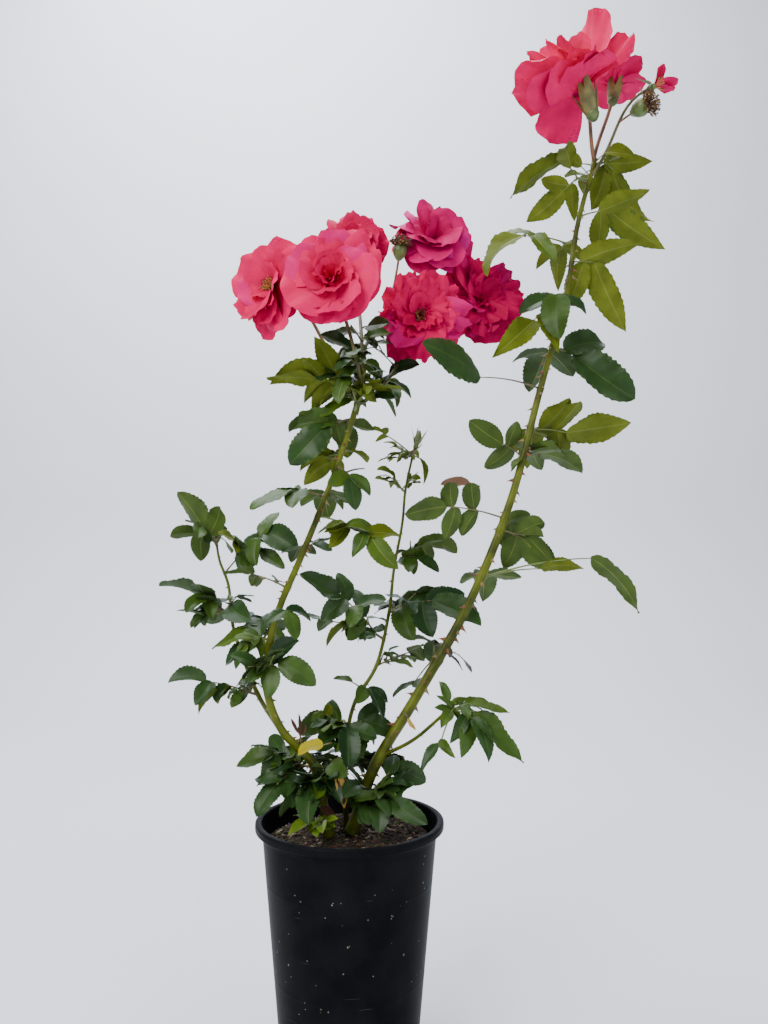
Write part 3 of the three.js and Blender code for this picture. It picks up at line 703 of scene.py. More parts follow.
RISING = [[4, 58, 1.0, 0.9], [4, 48, 0.95, 0.9], [3, 34, 0.85, 0.9], [3, 20, 0.7, 0.9]]
FADED = [[1, 45, 0.72, 0.6, 90, -50], [1, 15, 0.8, 0.6, 270, -30], [1, 38, 0.72, 0.6, 285, -20]]

# Each bloom: name, cane, height, its stem's bearing and rise, its centre, the bearing and rise of its
# face, radius, rings, tone, how strongly its petals are ruffled, and its spent hip's place and size.
BLOOMS = [
    ["bloom_left_front", "cane_left", 706, [-100, 50], [-18, -88, 811], [-95, 4], 56,
     ROSE, "coral", 1.5, None],
    ["bloom_left_outer", "cane_left", 694, [175, 50], [-89, -48, 816], [-130, 0], 54,
     OPEN, "coral", 1.4, None],
    ["bloom_left_right", "cane_left", 684, [40, 25], [77, -15, 794], [-85, -4], 55,
     RUFFLED, "rose", 2.2, None],
    ["bloom_left_back", "cane_left", 716, [100, 80], [1, 12, 889], [-90, 15], 42,
     LOOSE, "rose", 1.6, None],
    # The high bloom takes the magenta tone, partly painted shade.
    ["bloom_left_high", "cane_left", 710, [100, 50], [94, 10, 894], [-75, 20], 48,
     LOOSE, "magenta", 1.3, [54, 0, 870, 1.1]],
    # The far bloom takes the darker crimson tone, partly painted shade.
    ["bloom_left_far", "cane_left", 699, [80, 10], [152, 30, 827], [-70, 0], 58,
     RUFFLED, "crimson", 1.9, None],
    ["bloom_top_main", "cane_right", 1005, [160, 80], [262, 12, 1085], [180, 72], 70,
     SPRAWLING, "coral", 1.15, None],
    ["bloom_top_back", "cane_right", 994, [60, 70], [321, 72, 1114], [60, 70], 46,
     RISING, "rose", 1.2, None],
    ["bloom_top_faded", "cane_right", 986, [-10, 50], [367, 38, 1092], [-5, 20], 40,
     FADED, "rose", 0.7, [337, 28, 1055, 1.4]],
]
# How much further the petals' rims roll back on some blooms, in degrees.
CURLS = {"bloom_left_high": 75, "bloom_left_back": 60, "bloom_top_back": 40}
# Blooms whose sepals clasp them: how far their hip hangs below the base, and their size.
CLASPED = {"bloom_top_main": (29, 1.25), "bloom_top_back": (17, 1.0)}
# Blooms whose stamens show.
SHOWING = ("bloom_left_outer", "bloom_left_right", "bloom_top_faded")
# How far a bloom's base lies behind its centre, as a share of its radius, and when a petal lies flat.
BASE_DEPTH = 0.25
FLAT = 88
SEPALS = 5
# Profiles of [radius, height] of a hip under its bloom, a spent hip and a closed bud.
HIP = [[0.2, -9], [1.6, -8.5], [3.2, -6], [4.2, -3], [3.9, 0], [3.1, 2.2], [0.2, 3]]
SPENT_HIP = [[0.2, -9], [2.6, -8], [6.0, -3.5], [7.4, 1], [6.6, 5], [4.6, 7.5], [0.2, 8]]
BUD = [[0.2, -7], [2.6, -6], [3.4, -3], [2.6, -0.5], [4.3, 3], [4.6, 7], [3.4, 12], [1.2, 17],
       [0.1, 18]]
HIP_SIDES = 14
PETAL_ROWS = 12
SHADES = 6
PETAL_WIDTHS = np.linspace(-1, 1, 17)
SMALL_PETAL = 18


def turned_about(points, way, angle):
    """Points turned about a line through the origin, by degrees."""
    turn = math.radians(angle)
    along = (points @ way)[..., None] * way
    return along + (points - along) * math.cos(turn) + np.cross(way, points) * math.sin(turn)


def petal(batch, base, axis, out, opening, length, width, random, tone, depth, frill, curl, twist):
    """One petal: cupped low down, rolled at its rim, ruffled, and tilted to lap over the next."""
    across = np.cross(axis, out)
    rim = mix(-6, 20 + 16 * frill, random()) if depth < 0.5 else mix(-22, 10 * frill, random())
    rim += curl * mix(0.2, 1, random())
    u = np.linspace(0, 1, PETAL_ROWS + 1)
    bend = np.radians(opening * (0.62 + 0.38 * np.minimum(1, u / 0.35)) + rim * u ** 2)
    ways, inner = swept(bend, axis, out), swept(bend, -out, axis)
    strides = ways[:-1] * length / PETAL_ROWS
    middle = base + np.concatenate([np.zeros((1, 3)), np.cumsum(strides, 0)])
    u = u[:, None]
    v = PETAL_WIDTHS[None, :]
    half = 0.5 * length * width * (0.14 + 0.86 * np.sin(np.pi / 2 * np.minimum(1, u / 0.8)) ** 0.85)
    phase = mix(0, 2 * np.pi, random())
    lobes = mix(1.1, 2.1, random()) * frill ** 0.6
    ruffle = mix(0.02, 0.05, random()) * length * frill
    notch = mix(0, 0.08, random())
    cup = mix(0.1, 0.22, random()) + 0.3 * depth
    wave = ruffle * u ** 3 * np.sin(lobes * np.pi * v + phase)
    fine = 0.4 * ruffle * u ** 4 * np.sin(2.9 * lobes * np.pi * v + 2 * phase)
    roll = -0.3 * length * np.clip(np.abs(v) - 0.6, 0, 1) ** 1.5 * u ** 2 * (1 - depth)
    crease = 0.018 * length * frill * np.sin(5 * v + 3 * phase) * np.sin(np.pi * u)
    rise = cup * half * v ** 2 * (1.2 - u) + wave + fine + roll + crease + 0.2 * v * half
    short = -length * (notch * np.exp(-(v / 0.3) ** 2) * u ** 4 + 0.36 * np.abs(v) ** 2.4 * u ** 1.5)
    flat = middle[:, None, :] + (half * v)[..., None] * across + short[..., None] * ways[:, None, :]
    way = tilted(axis, out, opening)
    flat = base + turned_about(flat - base, way, twist)
    shades = shades_of(tone, depth, random())
    if length < SMALL_PETAL and tone == "rose":
        shades = [f"{tone}_base"] * PETAL_ROWS
    front = [name for name in shades for _ in PETAL_WIDTHS[1:]]
    ups = turned_about(inner, way, twist)[:, None, :]
    # The back side takes the brightened back colour, partly painted light.
    batch.blade(flat, rise, 0.22 * (1 - v ** 4), ups, front, f"{tone}_back", flip=True)


def shades_of(tone, depth, draw):
    """A petal's shade row by row: pale at its claw, then deep and lighter towards its rim. The deep rows
    and the darker petals deep in the bloom are partly the rose's own colour and partly painted shade of
    its cupped heart.
    """
    # Petals deeper in the bloom begin darker: partly painted shade of the bloom's heart.
    inner = mix(2.3, 0, depth) + 2.3 * draw
    outer = mix(4.8, 1.8, depth) + 1.9 * draw - 0.9
    names = [f"{tone}_base"]
    for row in range(1, PETAL_ROWS):
        level = mix(inner, outer, row / (PETAL_ROWS - 1))
        names.append(f"{tone}_{round(min(SHADES - 1, max(0, level)))}")
    if draw > 0.8 and depth < 0.4:
        names[-4:] = [f"{tone}_cool"] * 4
    return names


def pointed(batch, root, direction, normal, length, half_width, fold, tone, back="sepal_pale"):
    """A plain pointed blade, such as a sepal."""
    across = unit(np.cross(normal, direction))
    u = np.linspace(0, 1, 7)[:, None]
    v = np.array([-1, 0, 1])[None, :]
    width = half_width * (1 - u) ** 0.8 * (0.5 + np.minimum(0.5, 2 * u)) + 0.05
    rise = np.abs(v) * width * fold - 0.18 * length * u ** 2
    flat = root + (length * u + 0 * v)[..., None] * direction + (v * width)[..., None] * across
    batch.blade(flat, rise, 0.2 * (1 - np.abs(v)), np.cross(direction, across), tone, back)


def calyx(batch, base, axis, radius, random, clasp):
    """The green hip under a bloom and its five sepals, bent back or, on a clasped one, held up."""
    drop, size = clasp or (0, 1.0)
    hip(batch, base, axis, HIP, (1.5 * size if clasp else 1.0, size, drop))
    for number in range(SEPALS):
        out = outward(axis, 360 / SEPALS * number + 40 * random())
        if clasp:
            bend, length = mix(8, 24, random()), size * mix(34, 44, random())
            normal, foot = tilted(out, -axis, bend), 5.5
            shape = (7.5 * size, -0.35, "sepal_brown")
        else:
            bend, length = mix(88, 128, random()), radius * mix(0.38, 0.55, random())
            normal, foot = tilted(-out, axis, bend), 3.4
            shape = (2.8, 0.3, "sepal")
        root = base + out * foot * size - axis * (drop + 2)
        pointed(batch, root, tilted(axis, out, bend), normal, length, *shape)


def stamens(batch, base, axis, spread, length, count, random, withered=False):
    """Thin filaments with a grain of pollen at each tip."""
    for _ in range(count):
        out = outward(axis, 360 * random())
        way = tilted(axis, out, spread * math.sqrt(random()))
        size = length * mix(0.7, 1.1, random())
        root = base + way * 2
        grain = root + way * size
        thread = tube([root, root + way * size * 0.5, grain], [0.3, 0.24, 0.2], 4)
        batch.add(*thread, "anther_dark" if withered else "filament")
        tone = "anther" if random() < (0.15 if withered else 0.6) else "anther_dark"
        batch.add(*tube([grain - way * 0.9, grain, grain + way * 0.9], [0.2, 0.85, 0.2], 5), tone)


def stem_of(row):
    """A bloom's axis, its base and the curve of its stem."""
    _, cane, height, leave, centre, face, radius = row[:7]
    axis = heading(*face)
    base = np.array(centre, float) - axis * radius * BASE_DEPTH
    start = point_at(cane, height)
    reach = np.linalg.norm(start - base)
    curve = cubic(start, start + heading(*leave) * reach * 0.45, base - axis * reach * 0.4, base)
    return axis, base, curve


def bloom(seed, row, petals, greens):
    """A bloom with its stem, hip and rings of petals, and what shows of its stamens."""
    name, radius, rings, tone, frill, spent = row[0], *row[6:]
    random = seeded(seed)
    axis, base, curve = stem_of(row)
    stout, look = ((2.5, 2.0), "peduncle") if name in CLASPED else ((2.2, 1.5), "peduncle_green")
    greens.add(*tube(curve.path(15), np.linspace(*stout, 15), 8), look)
    calyx(greens, base, axis, radius, random, CLASPED.get(name))
    phase = random() * 360
    for ring in rings:
        count, opening, share, width = ring[:4]
        turn, twist = ring[4:] or (phase, 0)
        free = 1 if len(ring) == 4 else 0
        least, most = (1.08 - 0.12 * frill, 1.1) if free else (0.95, 1.05)
        phase += 180 / count + mix(-12, 12, random())
        depth = min(1.0, max(0.0, 1 - opening / FLAT))
        for each in range(count):
            out = outward(axis, turn + 360 / count * (each + 0.2 * free * random()))
            length = radius * share * mix(least, most, random())
            wide = width * mix(0.92, 1.12, random()) * 1.05
            lean = opening + mix(-8, 8, random()) * frill * free
            roll = mix(-22, CURLS.get(name, 0), free)
            petal(petals, base, axis, out, lean, length, wide, random, tone, depth, frill, roll, twist)
    if name in SHOWING:
        stamens(greens, base, axis, 38, radius * 0.26, 70, random, name == "bloom_left_right")
    if spent:
        spent_hip(greens, curve, np.array(spent[:3], float), spent[3], random)


def spent_hip(batch, curve, end, size, random):
    """A hip whose petals have dropped, with its withered stamens and sepals."""
    fork = curve.at(0.55)
    bend = (fork + end) / 2
    bend[2] = fork[2] + 4
    path = quadratic(fork, bend, end).path(9)
    batch.add(*tube(path, np.linspace(1.4, 1.3, 9)), "peduncle")
    axis = unit(path[-1] - path[-2])
    hip(batch, end, axis, SPENT_HIP, (size, size, 0))
    top = end + axis * 4 * size
    stamens(batch, top, axis, 72, 11 * size, round(190 * size), random, True)
    for number in range(SEPALS):
        out = outward(axis, 360 / SEPALS * number + 30 * random())
        lean = mix(30, 80, random())
        way, normal = tilted(axis, out, lean), tilted(-out, axis, lean)
        pointed(batch, top, way, normal, 16 * size, 2.2 * size, 0.3, "sepal")


# ---- small things ----

# Small single leaves: how many, rise and reach of the stalk, rise and turn of the blade, its length and
# half width, how far the stalk arches, and its girth.
COLLAR = {"count": 7, "rise": (0, 50), "reach": (8, 20), "dip": (-30, 50), "turn": (-60, 60),
          "size": (22, 42), "half_width": 0.27, "arch": 0.6, "girth": 1.0}
BRACTS = {"count": 9, "rise": (0, 40), "reach": (4, 12), "dip": (-50, 30), "turn": (-10, 70),
          "size": (20, 40), "half_width": 0.29, "arch": 0.5, "girth": 0.9}
COLLAR_HEIGHT = 1004
LEAF_ANGLE = 137.5


def single_leaves(batches, place, tone, seed, *, count, rise, reach, dip, turn, size, half_width,
                  arch, girth):
    """Small single leaves that crowd a cane below its fork or a bloom's stem."""
    random = seeded(seed)
    blades, twigs = batches
    for number in range(count):
        start = place(random())
        compass = LEAF_ANGLE * number + 60 * random()
        end = start + heading(compass, mix(*rise, random())) * mix(*reach, random())
        path = [start, (start + end) / 2 + UP * arch, end]
        twigs.add(*tube(path, [girth, girth - 0.2, 0.6]), "stalk_green")
        way = heading(compass, mix(*dip, random()))
        upper = upper_side(way, mix(*turn, random()))
        leaflet(blades, end, way, upper, mix(*size, random()), half_width, random, tone)


def bud(batch, place, axis):
    """A closed bud on its hip, clasped by its sepals."""
    hip(batch, place, axis, BUD, (1, 1, 0), "sepal")
    for number in range(SEPALS):
        out = outward(axis, 360 / SEPALS * number)
        way, normal = unit(axis + out * 0.22), unit(axis * 0.22 - out)
        pointed(batch, place + out * 3, way, normal, 20, 2.6, -0.3, "hip")


def yellow_and_dead(batches):
    """A yellowed leaf, withered leaves and dry slivers low on the canes."""
    blades, twigs = batches
    random = seeded(DEAD_SEED)
    rows = [
        ([-26, -36, 334], [196, -12], [0.2, -0.6, 0.8], 29, 0.31, "yellow"),
        ([-10, -34, 306], [-70, -60], [0.5, -0.9, 0.2], 26, 0.2, "tan"),
        ([-4, -32, 300], [-100, -80], [-0.4, -0.9, 0.1], 30, 0.18, "tan"),
        ([-13, -30, 308], [150, -50], [0.1, -0.9, 0.3], 20, 0.2, "brown"),
        ([-52, -12, 338], [110, 75], [0.6, -0.8, 0], 24, 0.1, "brown"),
        ([-54, -12, 341], [170, 60], [0, -0.8, 0.5], 18, 0.11, "brown"),
        ([-52, -10, 338], [60, 50], [0.2, -0.9, 0.2], 15, 0.12, "brown"),
        ([62, -12, 357], [-60, -35], [0.3, -0.8, 0.5], 18, 0.14, "tan"),
        ([-30, -24, 268], [-40, -20], [0, -0.5, 0.8], 24, 0.2, "brown"),
        ([135, 14, 608], [182, 4], [0.1, -0.7, 0.7], 36, 0.2, "withered"),
    ]
    for root, way, normal, length, half_width, tone in rows:
        root, way = np.array(root, float), heading(*way)
        leaflet(blades, root, way, unit(np.array(normal)), length, half_width, random, tone)
        twigs.add(*tube([root - way * 9, root - way * 4, root + way], [1.0, 0.8, 0.6]), "stalk_red")


def pot_dust(batch, count=150, sides=8):
    """Specks of dried soil and short scuffs on the outside of the pot."""
    random = seeded(DUST_SEED)
    for number in range(count):
        out = heading(360 * random(), 0)
        height = mix(12, POT_HEIGHT - RIM_BAND - 4, random() ** 0.8)
        scuff = number % 9 == 0
        wide = mix(3, 11, random()) if scuff else mix(0.3, 0.9, random())
        tall = mix(0.12, 0.2, random()) if scuff else wide * mix(0.6, 1.5, random())
        centre = out * (wall_radius(height) + 0.02) + UP * height
        ring = centre + swept(circle(sides), np.cross(UP, out) * wide, UP * tall)
        ring -= np.outer(np.cos(circle(sides)) ** 2 * wide ** 2 / 2 / wall_radius(height), out)
        points = np.concatenate([ring, [centre + out * 0.25]])
        batch.add(points, [fan(sides, 0, sides)], "scuff" if scuff else "dust")


# ---- pot and soil ----

def wall_radius(height):
    """The outside of the pot's tapered wall."""
    return mix(BASE_RADIUS, SHOULDER_RADIUS, height / POT_HEIGHT)


def arc(radius_centre, height_centre, size, start, end, steps):
    """Points of a profile round a corner, between two angles in degrees."""
    angles = np.radians(np.linspace(start, end, steps))
    return [[radius_centre + size * math.cos(a), height_centre + size * math.sin(a)] for a in angles]


def pot_profile():
    """The pot's section: foot, wall with two faint rings, turned-down rim, inside and floor."""
    inner = POT_HEIGHT - POT_WALL
    rim_foot = POT_HEIGHT - RIM_BAND
    rows = [[0.01, 0.0], [BASE_RADIUS - 2.5, 0.0], *arc(BASE_RADIUS - 2, 2.2, 2.2, -90, -5, 5)]
    for ring in POT_RINGS:
        for step, swell in ((-4, 0), (-1, 0), (0, 0.12), (1, 0), (4, 0)):
            rows.append([wall_radius(ring + step) + swell, ring + step])
    for height in (8, 20, 60, 130, 160, 225, rim_foot - 8, inner):
        rows.append([wall_radius(height), height])
    rows.sort(key=lambda row: row[1])
    rows += [[RIM_RADIUS - POT_WALL, inner], [RIM_RADIUS - POT_WALL, rim_foot + 0.6]]
    rows += arc(RIM_RADIUS - 1, rim_foot + 0.9, 0.9, -90, 0, 4)
    rows += [[RIM_RADIUS + 0.15, rim_foot + 3], [RIM_RADIUS + 0.05, POT_HEIGHT - 3]]
    rows += arc(RIM_RADIUS - 2, POT_HEIGHT - 2, 2, 0, 90, 6)
    rows += arc(RIM_RADIUS - RIM_LIP + 2, POT_HEIGHT - 2, 2, 90, 180, 6)
    rows += [[wall_radius(inner) - POT_WALL, inner - 6]]
    rows += [[wall_radius(POT_WALL) - POT_WALL, POT_WALL], [0.01, POT_WALL]]
    return rows


def drill(piece):
    """Cuts the drain holes through the pot's floor."""
    holes = Batch("drain_cutter", "pot", piece.data.materials[:])
    for number in range(DRAIN_COUNT):
        centre = heading(360 * number / DRAIN_COUNT, 0) * DRAIN_CIRCLE - UP * 4
        holes.add(*tube([centre, centre + UP * 10], [DRAIN_RADIUS] * 2, 24), "pot_plastic")
    cutter = holes.make()
    cut = piece.modifiers.new("drains", "BOOLEAN")
    cut.operation = "DIFFERENCE"
    cut.object = cutter
    cut.solver = "EXACT"
    bpy.context.view_layer.update()
    done = piece.evaluated_get(bpy.context.evaluated_depsgraph_get())
    piece.data = bpy.data.meshes.new_from_object(done)
    piece.modifiers.clear()
    bpy.data.objects.remove(cutter)


def soil_height(x, y):
    """The soil's rough surface, a little lower at the edge."""
    place = Vector((x, y, 0))
    lumps = 2.2 * noise.noise(place * 0.06) + 1.3 * noise.noise(place * 0.18 + Vector((9, 0, 0)))
    grit = 0.8 * noise.noise(place * 0.6 + Vector((0, 7, 0)))
    edge = max(0, (math.hypot(x, y) - 74) / 15) ** 2 * 4
    return SOIL_TOP - 1.5 + lumps + grit - edge


def soil_mesh(batch):
    """The soil's rough top, and its side and floor inside the pot."""
    rings, sides, floor = 60, 180, POT_WALL + 0.3
    reach = wall_radius(SOIL_TOP - 6) - POT_WALL - 0.5
    radii = [max(0.05, reach * ring / rings) for ring in range(rings + 1)]
    points = []
    for ring, radius in enumerate([*radii, wall_radius(floor) - POT_WALL - 0.5, 0.05]):
        for angle in circle(sides):
            x, y = radius * math.cos(angle), radius * math.sin(angle)
            points.append([x, y, soil_height(x, y) if ring <= rings else floor])
    batch.add(np.array(points), [weave(rings + 2, sides, closed=True)], "soil_dark")


def chip(batch, centre, turn, tilt, sizes, random, tone):
    """A splinter of bark: a box with each corner pulled about."""
    corners = []
    for signs in itertools.product((-1, 1), repeat=3):
        pull = [mix(0.55, 1.1, random()) for _ in sizes]
        corners.append([sign * size * share / 2 for sign, size, share in zip(signs, sizes, pull)])
    along = heading(turn, tilt)
    across = unit(np.cross(UP, along))
    points = centre + np.array(corners) @ np.array([along, across, np.cross(along, across)])
    faces = [[0, 1, 3, 2], [4, 6, 7, 5], [0, 4, 5, 1], [2, 3, 7, 6], [0, 2, 6, 4], [1, 5, 7, 3]]
    batch.add(points, [np.array(faces)], tone)


def bark_chips(batch, count=1500, spread=84):
    """Bark scattered over the soil, mostly dark."""
    random = seeded(BARK_SEED)
    tones = ["bark_dark"] * 9 + ["bark_brown"] * 6 + ["bark_red"] * 3 + ["bark_pale"] * 2 + ["moss"] * 2
    for _ in range(count):
        x, y, _ = spread * math.sqrt(random()) * heading(360 * random(), 0)
        length = mix(2, 9, random() ** 2)
        sizes = [length, length * mix(0.25, 0.6, random()), mix(0.6, 1.8, random())]
        tone = pick(tones, random())
        centre = np.array([x, y, soil_height(x, y) + sizes[2] * 0.35])
        chip(batch, centre, 360 * random(), mix(-22, 22, random()), sizes, random, tone)


# ---- the plant ----

def leaf_materials():
    """The leaves' upper sides, undersides and ribs; olive ones shine less. The olive colours are partly
    the leaves' own and partly painted light shining through them.
    """
    rows = {
        "leaf_dark": ((0.02, 0.051, 0.01), 0.36),
        "leaf_deep": ((0.012, 0.036, 0.009), 0.34),
        "leaf_mid": ((0.036, 0.076, 0.009), 0.38),
        "leaf_light": ((0.05, 0.092, 0.005), 0.46),
        "leaf_olive": ((0.088, 0.114, 0.006), 0.6),
        "leaf_young": ((0.12, 0.2, 0.014), 0.4),
        "leaf_yellow": ((0.38, 0.31, 0.002), 0.5),
        "leaf_brown": ((0.085, 0.038, 0.022), 0.75),
        "leaf_tan": ((0.42, 0.24, 0.05), 0.65),
        "leaf_withered": ((0.2, 0.11, 0.07), 0.8),
        "under_dark": ((0.042, 0.075, 0.02), 0.6),
        "under_mid": ((0.056, 0.094, 0.014), 0.6),
        "under_olive_lit_through": ((0.112, 0.138, 0.012), 0.6),
        "rib_green": ((0.042, 0.082, 0.013), 0.45),
        "rib_pale": ((0.145, 0.175, 0.03), 0.5),
    }
    return [
        material(name, colour, rough, dark=0.8, light=1.18, size=45, bump=0.12, grain=900,
                 Specular_IOR_Level=0.08 if "olive" in name else 0.2)
        for name, (colour, rough) in rows.items()
    ]


def petal_materials():
    """For each tone a pale base, shades from deep to light, a cooler one and the back. The back is partly
    the petal's paler underside and partly painted light that brightens it against the shade under the
    petal.
    """
    pale = (0.85, 0.5, 0.12)
    tones = {
        "coral": ((0.76, 0.001, 0.108), (0.44, 0.001, 0.03), (0.66, 0.004, 0.145), (0.82, 0.002, 0.12)),
        "rose": ((0.68, 0.001, 0.1), (0.36, 0.001, 0.03), (0.58, 0.003, 0.14), (0.68, 0.002, 0.11)),
        # The magenta tone is darker and bluer than the rose tone: partly painted shade of the high bloom.
        "magenta": ((0.62, 0.003, 0.14), (0.32, 0.001, 0.046), (0.58, 0.01, 0.2), (0.6, 0.005, 0.15)),
        # The crimson tone is the rose tone made darker: partly painted shade of the far bloom behind the
        # others.
        "crimson": ((0.48, 0.001, 0.072), (0.26, 0.001, 0.028), (0.42, 0.002, 0.09), (0.42, 0.002, 0.08)),
    }
    made = []
    for tone, (light, deep, cool, back) in tones.items():
        # The back is brighter than the front's lightest shade: a paler underside with painted light over
        # the shade it sits in.
        colours = {"cool": cool, "back": back}
        colours["base"] = tuple(mix(c, b, 0.45) for c, b in zip(deep, pale))
        for level in range(SHADES):
            colours[level] = tuple(mix(a, b, level / (SHADES - 1)) for a, b in zip(deep, light))
        for name, colour in colours.items():
            made.append(material(f"{tone}_{name}", colour, 0.55, dark=0.88, light=1.1, size=35,
                                 bump=0.1, grain=500, Specular_IOR_Level=0.06))
    return made


def green_materials():
    """Each with its colour, roughness, dark and light shade, size of drift, and bump."""
    rows = [
        ("peduncle", (0.17, 0.07, 0.03), 0.5, 0.6, 1.5, 50, 0.1),
        ("peduncle_green", (0.09, 0.085, 0.02), 0.5, 0.55, 1.5, 50, 0.1),
        ("sepal", (0.1, 0.14, 0.03), 0.5, 0.75, 1.3, 80, 0.1),
        ("sepal_brown", (0.14, 0.125, 0.03), 0.5, 0.6, 1.4, 90, 0.1),
        ("sepal_pale", (0.22, 0.26, 0.12), 0.6, 0.75, 1.2, 80, 0.1),
        ("hip", (0.09, 0.13, 0.03), 0.42, 0.6, 1.4, 90, 0.1),
        ("filament", (0.6, 0.32, 0.08), 0.6, 0.75, 1.2, 60, 0.05),
        ("anther", (0.42, 0.24, 0.05), 0.75, 0.75, 1.2, 60, 0.2),
        ("anther_dark", (0.1, 0.045, 0.015), 0.8, 0.75, 1.2, 60, 0.2),
    ]
    return [material(*row) for row in rows]


def grow_leaves():
    """The leaf masses by cane, and the small leaves that belong to no mass."""
    leaves = leaf_materials()
    twigs = Batch("leaf_stalks", "cane", [
        material("stalk_green", (0.13, 0.17, 0.04), 0.48, dark=0.7, light=1.3, size=70, bump=0.1),
        material("stalk_red", (0.12, 0.1, 0.035), 0.48, dark=0.6, light=1.4, size=70, bump=0.1),
    ])
    owners = {"cane_right": "right", "branch_low": "right", "cane_left": "left",
              "cane_thin": "left", "cane_middle": "middle"}
    groups = {side: Batch(f"leaflets_{side}", "leaf", leaves) for side in ("right", "left", "middle")}
    for index, row in enumerate(SHOOTS):
        leaf_mass(index, row, (groups[owners[row[1]]], twigs))
    low = Batch("small_leaves", "leaf", leaves)
    for number, row in enumerate(row for row in BLOOMS if row[1] == "cane_left"):
        curve = stem_of(row)[2]
        tone = "dark" if number % 2 else "mid"
        single_leaves((low, twigs), lambda draw: curve.at(mix(0.06, 0.34, draw)), tone,
                      BRACT_SEED + number, **BRACTS)
    single_leaves((low, twigs), lambda draw: point_at("cane_right", COLLAR_HEIGHT + mix(-22, 8, draw)),
                  "light", COLLAR_SEED, **COLLAR)
    yellow_and_dead((low, twigs))
    for side, batch in groups.items():
        batch.make(*(row[0] for row in SHOOTS if owners[row[1]] == side))
    low.make()
    twigs.make()


def grow_canes():
    """The canes, swollen where a mass leaves them, and their thorns."""
    green = material("cane_green", (0.068, 0.082, 0.003), 0.42, dark=0.5, light=1.6, size=34,
                     bump=0.25, grain=260, Specular_IOR_Level=0.2)
    canes = Batch("canes", "cane", [green])
    points = Batch("thorns", "cane", [
        material("thorn_red", (0.17, 0.05, 0.018), 0.5, dark=0.6, light=1.4, size=150, bump=0.1),
        material("thorn_tan", (0.2, 0.14, 0.045), 0.55, dark=0.6, light=1.3, size=150, bump=0.1),
    ])
    for number, name in enumerate(CANES):
        joints = [row[2] for row in SHOOTS if row[1] == name]
        cane_mesh(canes, name, joints)
        thorns(points, name, THORN_SEED + number)
    canes.make(*CANES)
    points.make()


def grow_blooms():
    """The petals of each cane's blooms, and all their green parts."""
    flowers = petal_materials()
    greens = Batch("bloom_stems", "cane", green_materials())
    petals = {"cane_left": Batch("petals_left", "petal", flowers),
              "cane_right": Batch("petals_top", "petal", flowers)}
    for seed, row in enumerate(BLOOMS, BLOOM_SEED):
        bloom(seed, row, petals[row[1]], greens)
    tip, way = CURVES["cane_middle"].at(1), heading(20, 70)
    greens.add(*tube([tip - UP * 3, tip + UP * 4, tip + way * 12], [1.4, 1.2, 1.1]), "peduncle")
    bud(greens, tip + way * 14, heading(20, 75))
    for cane, batch in petals.items():
        batch.make(*(row[0] for row in BLOOMS if row[1] == cane))
    greens.make()


def make_pot():
    """The pot with its drain holes, and the dust and scuffs on it."""
    plastic = material("pot_plastic", (0.0055, 0.0058, 0.007), 0.4, dark=0.7, light=1.4, size=22,
                       bump=0.12, grain=180, Specular_IOR_Level=0.02)
    pot = Batch("pot_body", "pot", [plastic])
    pot.add(*turned(pot_profile(), POT_SIDES), "pot_plastic")
    piece = pot.make("pot")
    drill(piece)
    dust = Batch("pot_dust", "pot", [
        material("dust", (0.2, 0.17, 0.13), 0.9, dark=0.5, bump=0.2),
        material("scuff", (0.022, 0.022, 0.022), 0.6, bump=0.2),
    ])
    pot_dust(dust)
    dust.make()


def make_soil():
    """The bed of soil and the bark on it."""
    earth = Batch("soil_bed", "soil", [
        material("soil_dark", (0.022, 0.014, 0.009), 0.95, dark=0.5, light=1.8, size=220, bump=0.8,
                 grain=900),
    ])
    soil_mesh(earth)
    earth.make("soil")
    rows = [
        ("bark_dark", (0.025, 0.015, 0.009), 0.9, 0.5), ("bark_brown", (0.07, 0.038, 0.02), 0.85, 0.5),
        ("bark_red", (0.12, 0.045, 0.022), 0.85, 0.5), ("bark_pale", (0.3, 0.22, 0.14), 0.8, 0.4),
        ("moss", (0.05, 0.075, 0.012), 0.95, 0.6),
    ]
    chips = Batch("soil_chips", "soil", [
        material(name, colour, rough, bump=bump, grain=900) for name, colour, rough, bump in rows
    ])
    bark_chips(chips)
    chips.make()


# ---- camera, floor and light ----

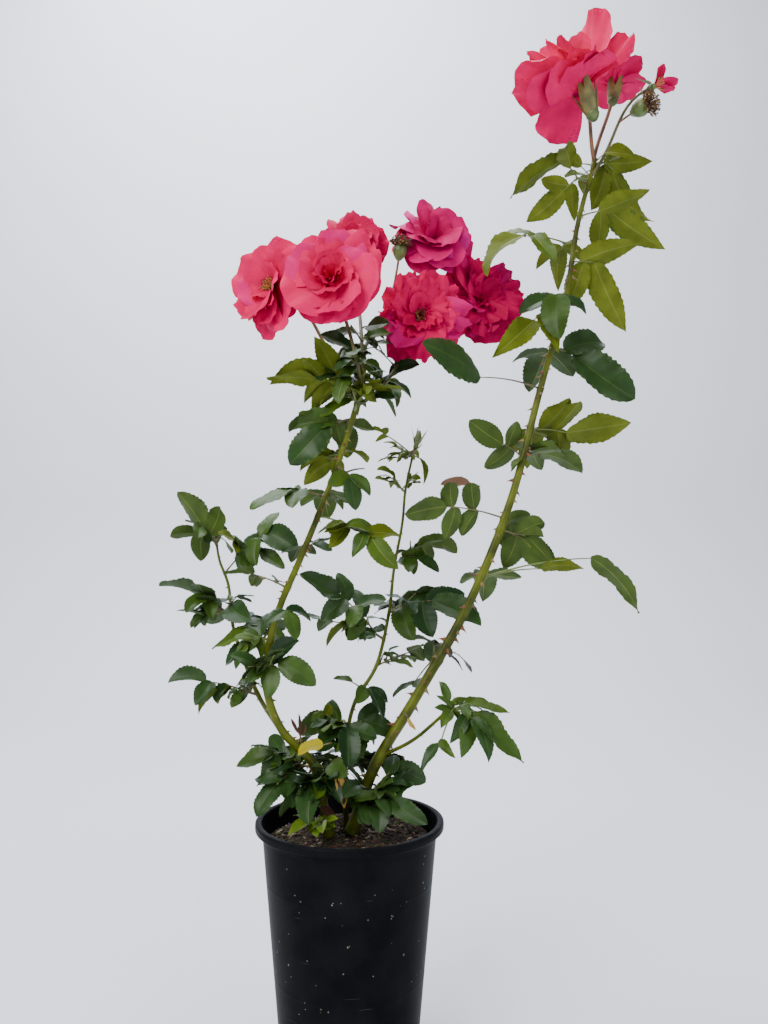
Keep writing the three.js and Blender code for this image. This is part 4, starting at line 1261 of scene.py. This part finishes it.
def make_camera():
    data = bpy.data.cameras.new("camera")
    data.lens = 28.125
    camera = linked("camera", data)
    camera.location = (0.0364, -0.8755, 0.5135)
    camera.rotation_euler = (math.radians(94.17), 0, 0)
    bpy.context.scene.camera = camera


def make_stage():
    """A pale floor that rises into a plain wall far behind."""
    half, back, height, bend = 5.0, 2.6, 4.5, 0.8
    curve = [(-4.0, 0.0), (back - bend, 0.0)]
    for step in range(1, 13):
        angle = math.radians(90 * step / 12)
        curve.append((back - bend + bend * math.sin(angle), bend - bend * math.cos(angle)))
    curve.append((back, height))
    points = [(x, y, z) for y, z in curve for x in (-half, half)]
    faces = [(2 * i, 2 * i + 1, 2 * i + 3, 2 * i + 2) for i in range(len(curve) - 1)]
    paint = material("backdrop", (0.7, 0.725, 0.775), 0.9, dark=0.985, light=1.015, size=1.2)
    stage = linked("backdrop", smooth_mesh("backdrop", points, faces, [paint]))


def lamp(name, place, target, size, power, colour):
    data = bpy.data.lights.new(name, "AREA")
    data.shape = "SQUARE"
    data.size = size
    data.energy = power
    data.color = colour
    light = linked(name, data)
    light.location = place
    light.rotation_euler = (Vector(target) - Vector(place)).to_track_quat("-Z", "Y").to_euler()


def make_lights():
    middle = (0.05, 0, 0.6)
    lamp("key", (-1.5, -2.1, 2.3), middle, 1.9, 108, (1.0, 0.985, 0.955))
    lamp("fill", (2.0, -2.0, 1.2), middle, 2.2, 34, (0.96, 0.975, 1.0))
    lamp("rim", (0.6, 1.3, 2.6), (0.05, 0, 0.7), 1.4, 20, (1.0, 0.99, 0.97))
    lamp("wall", (-0.6, 0.9, 3.4), (0.1, 2.6, 0.9), 2.4, 190, (0.93, 0.955, 1.0))
    world = bpy.data.worlds.new("world")
    bpy.context.scene.world = world
    world.use_nodes = True
    sky = world.node_tree.nodes["Background"]
    sky.inputs["Color"].default_value = (0.85, 0.88, 0.94, 1)
    sky.inputs["Strength"].default_value = 0.32


make_camera()
make_stage()
make_lights()
make_pot()
make_soil()
grow_canes()
grow_leaves()
grow_blooms()
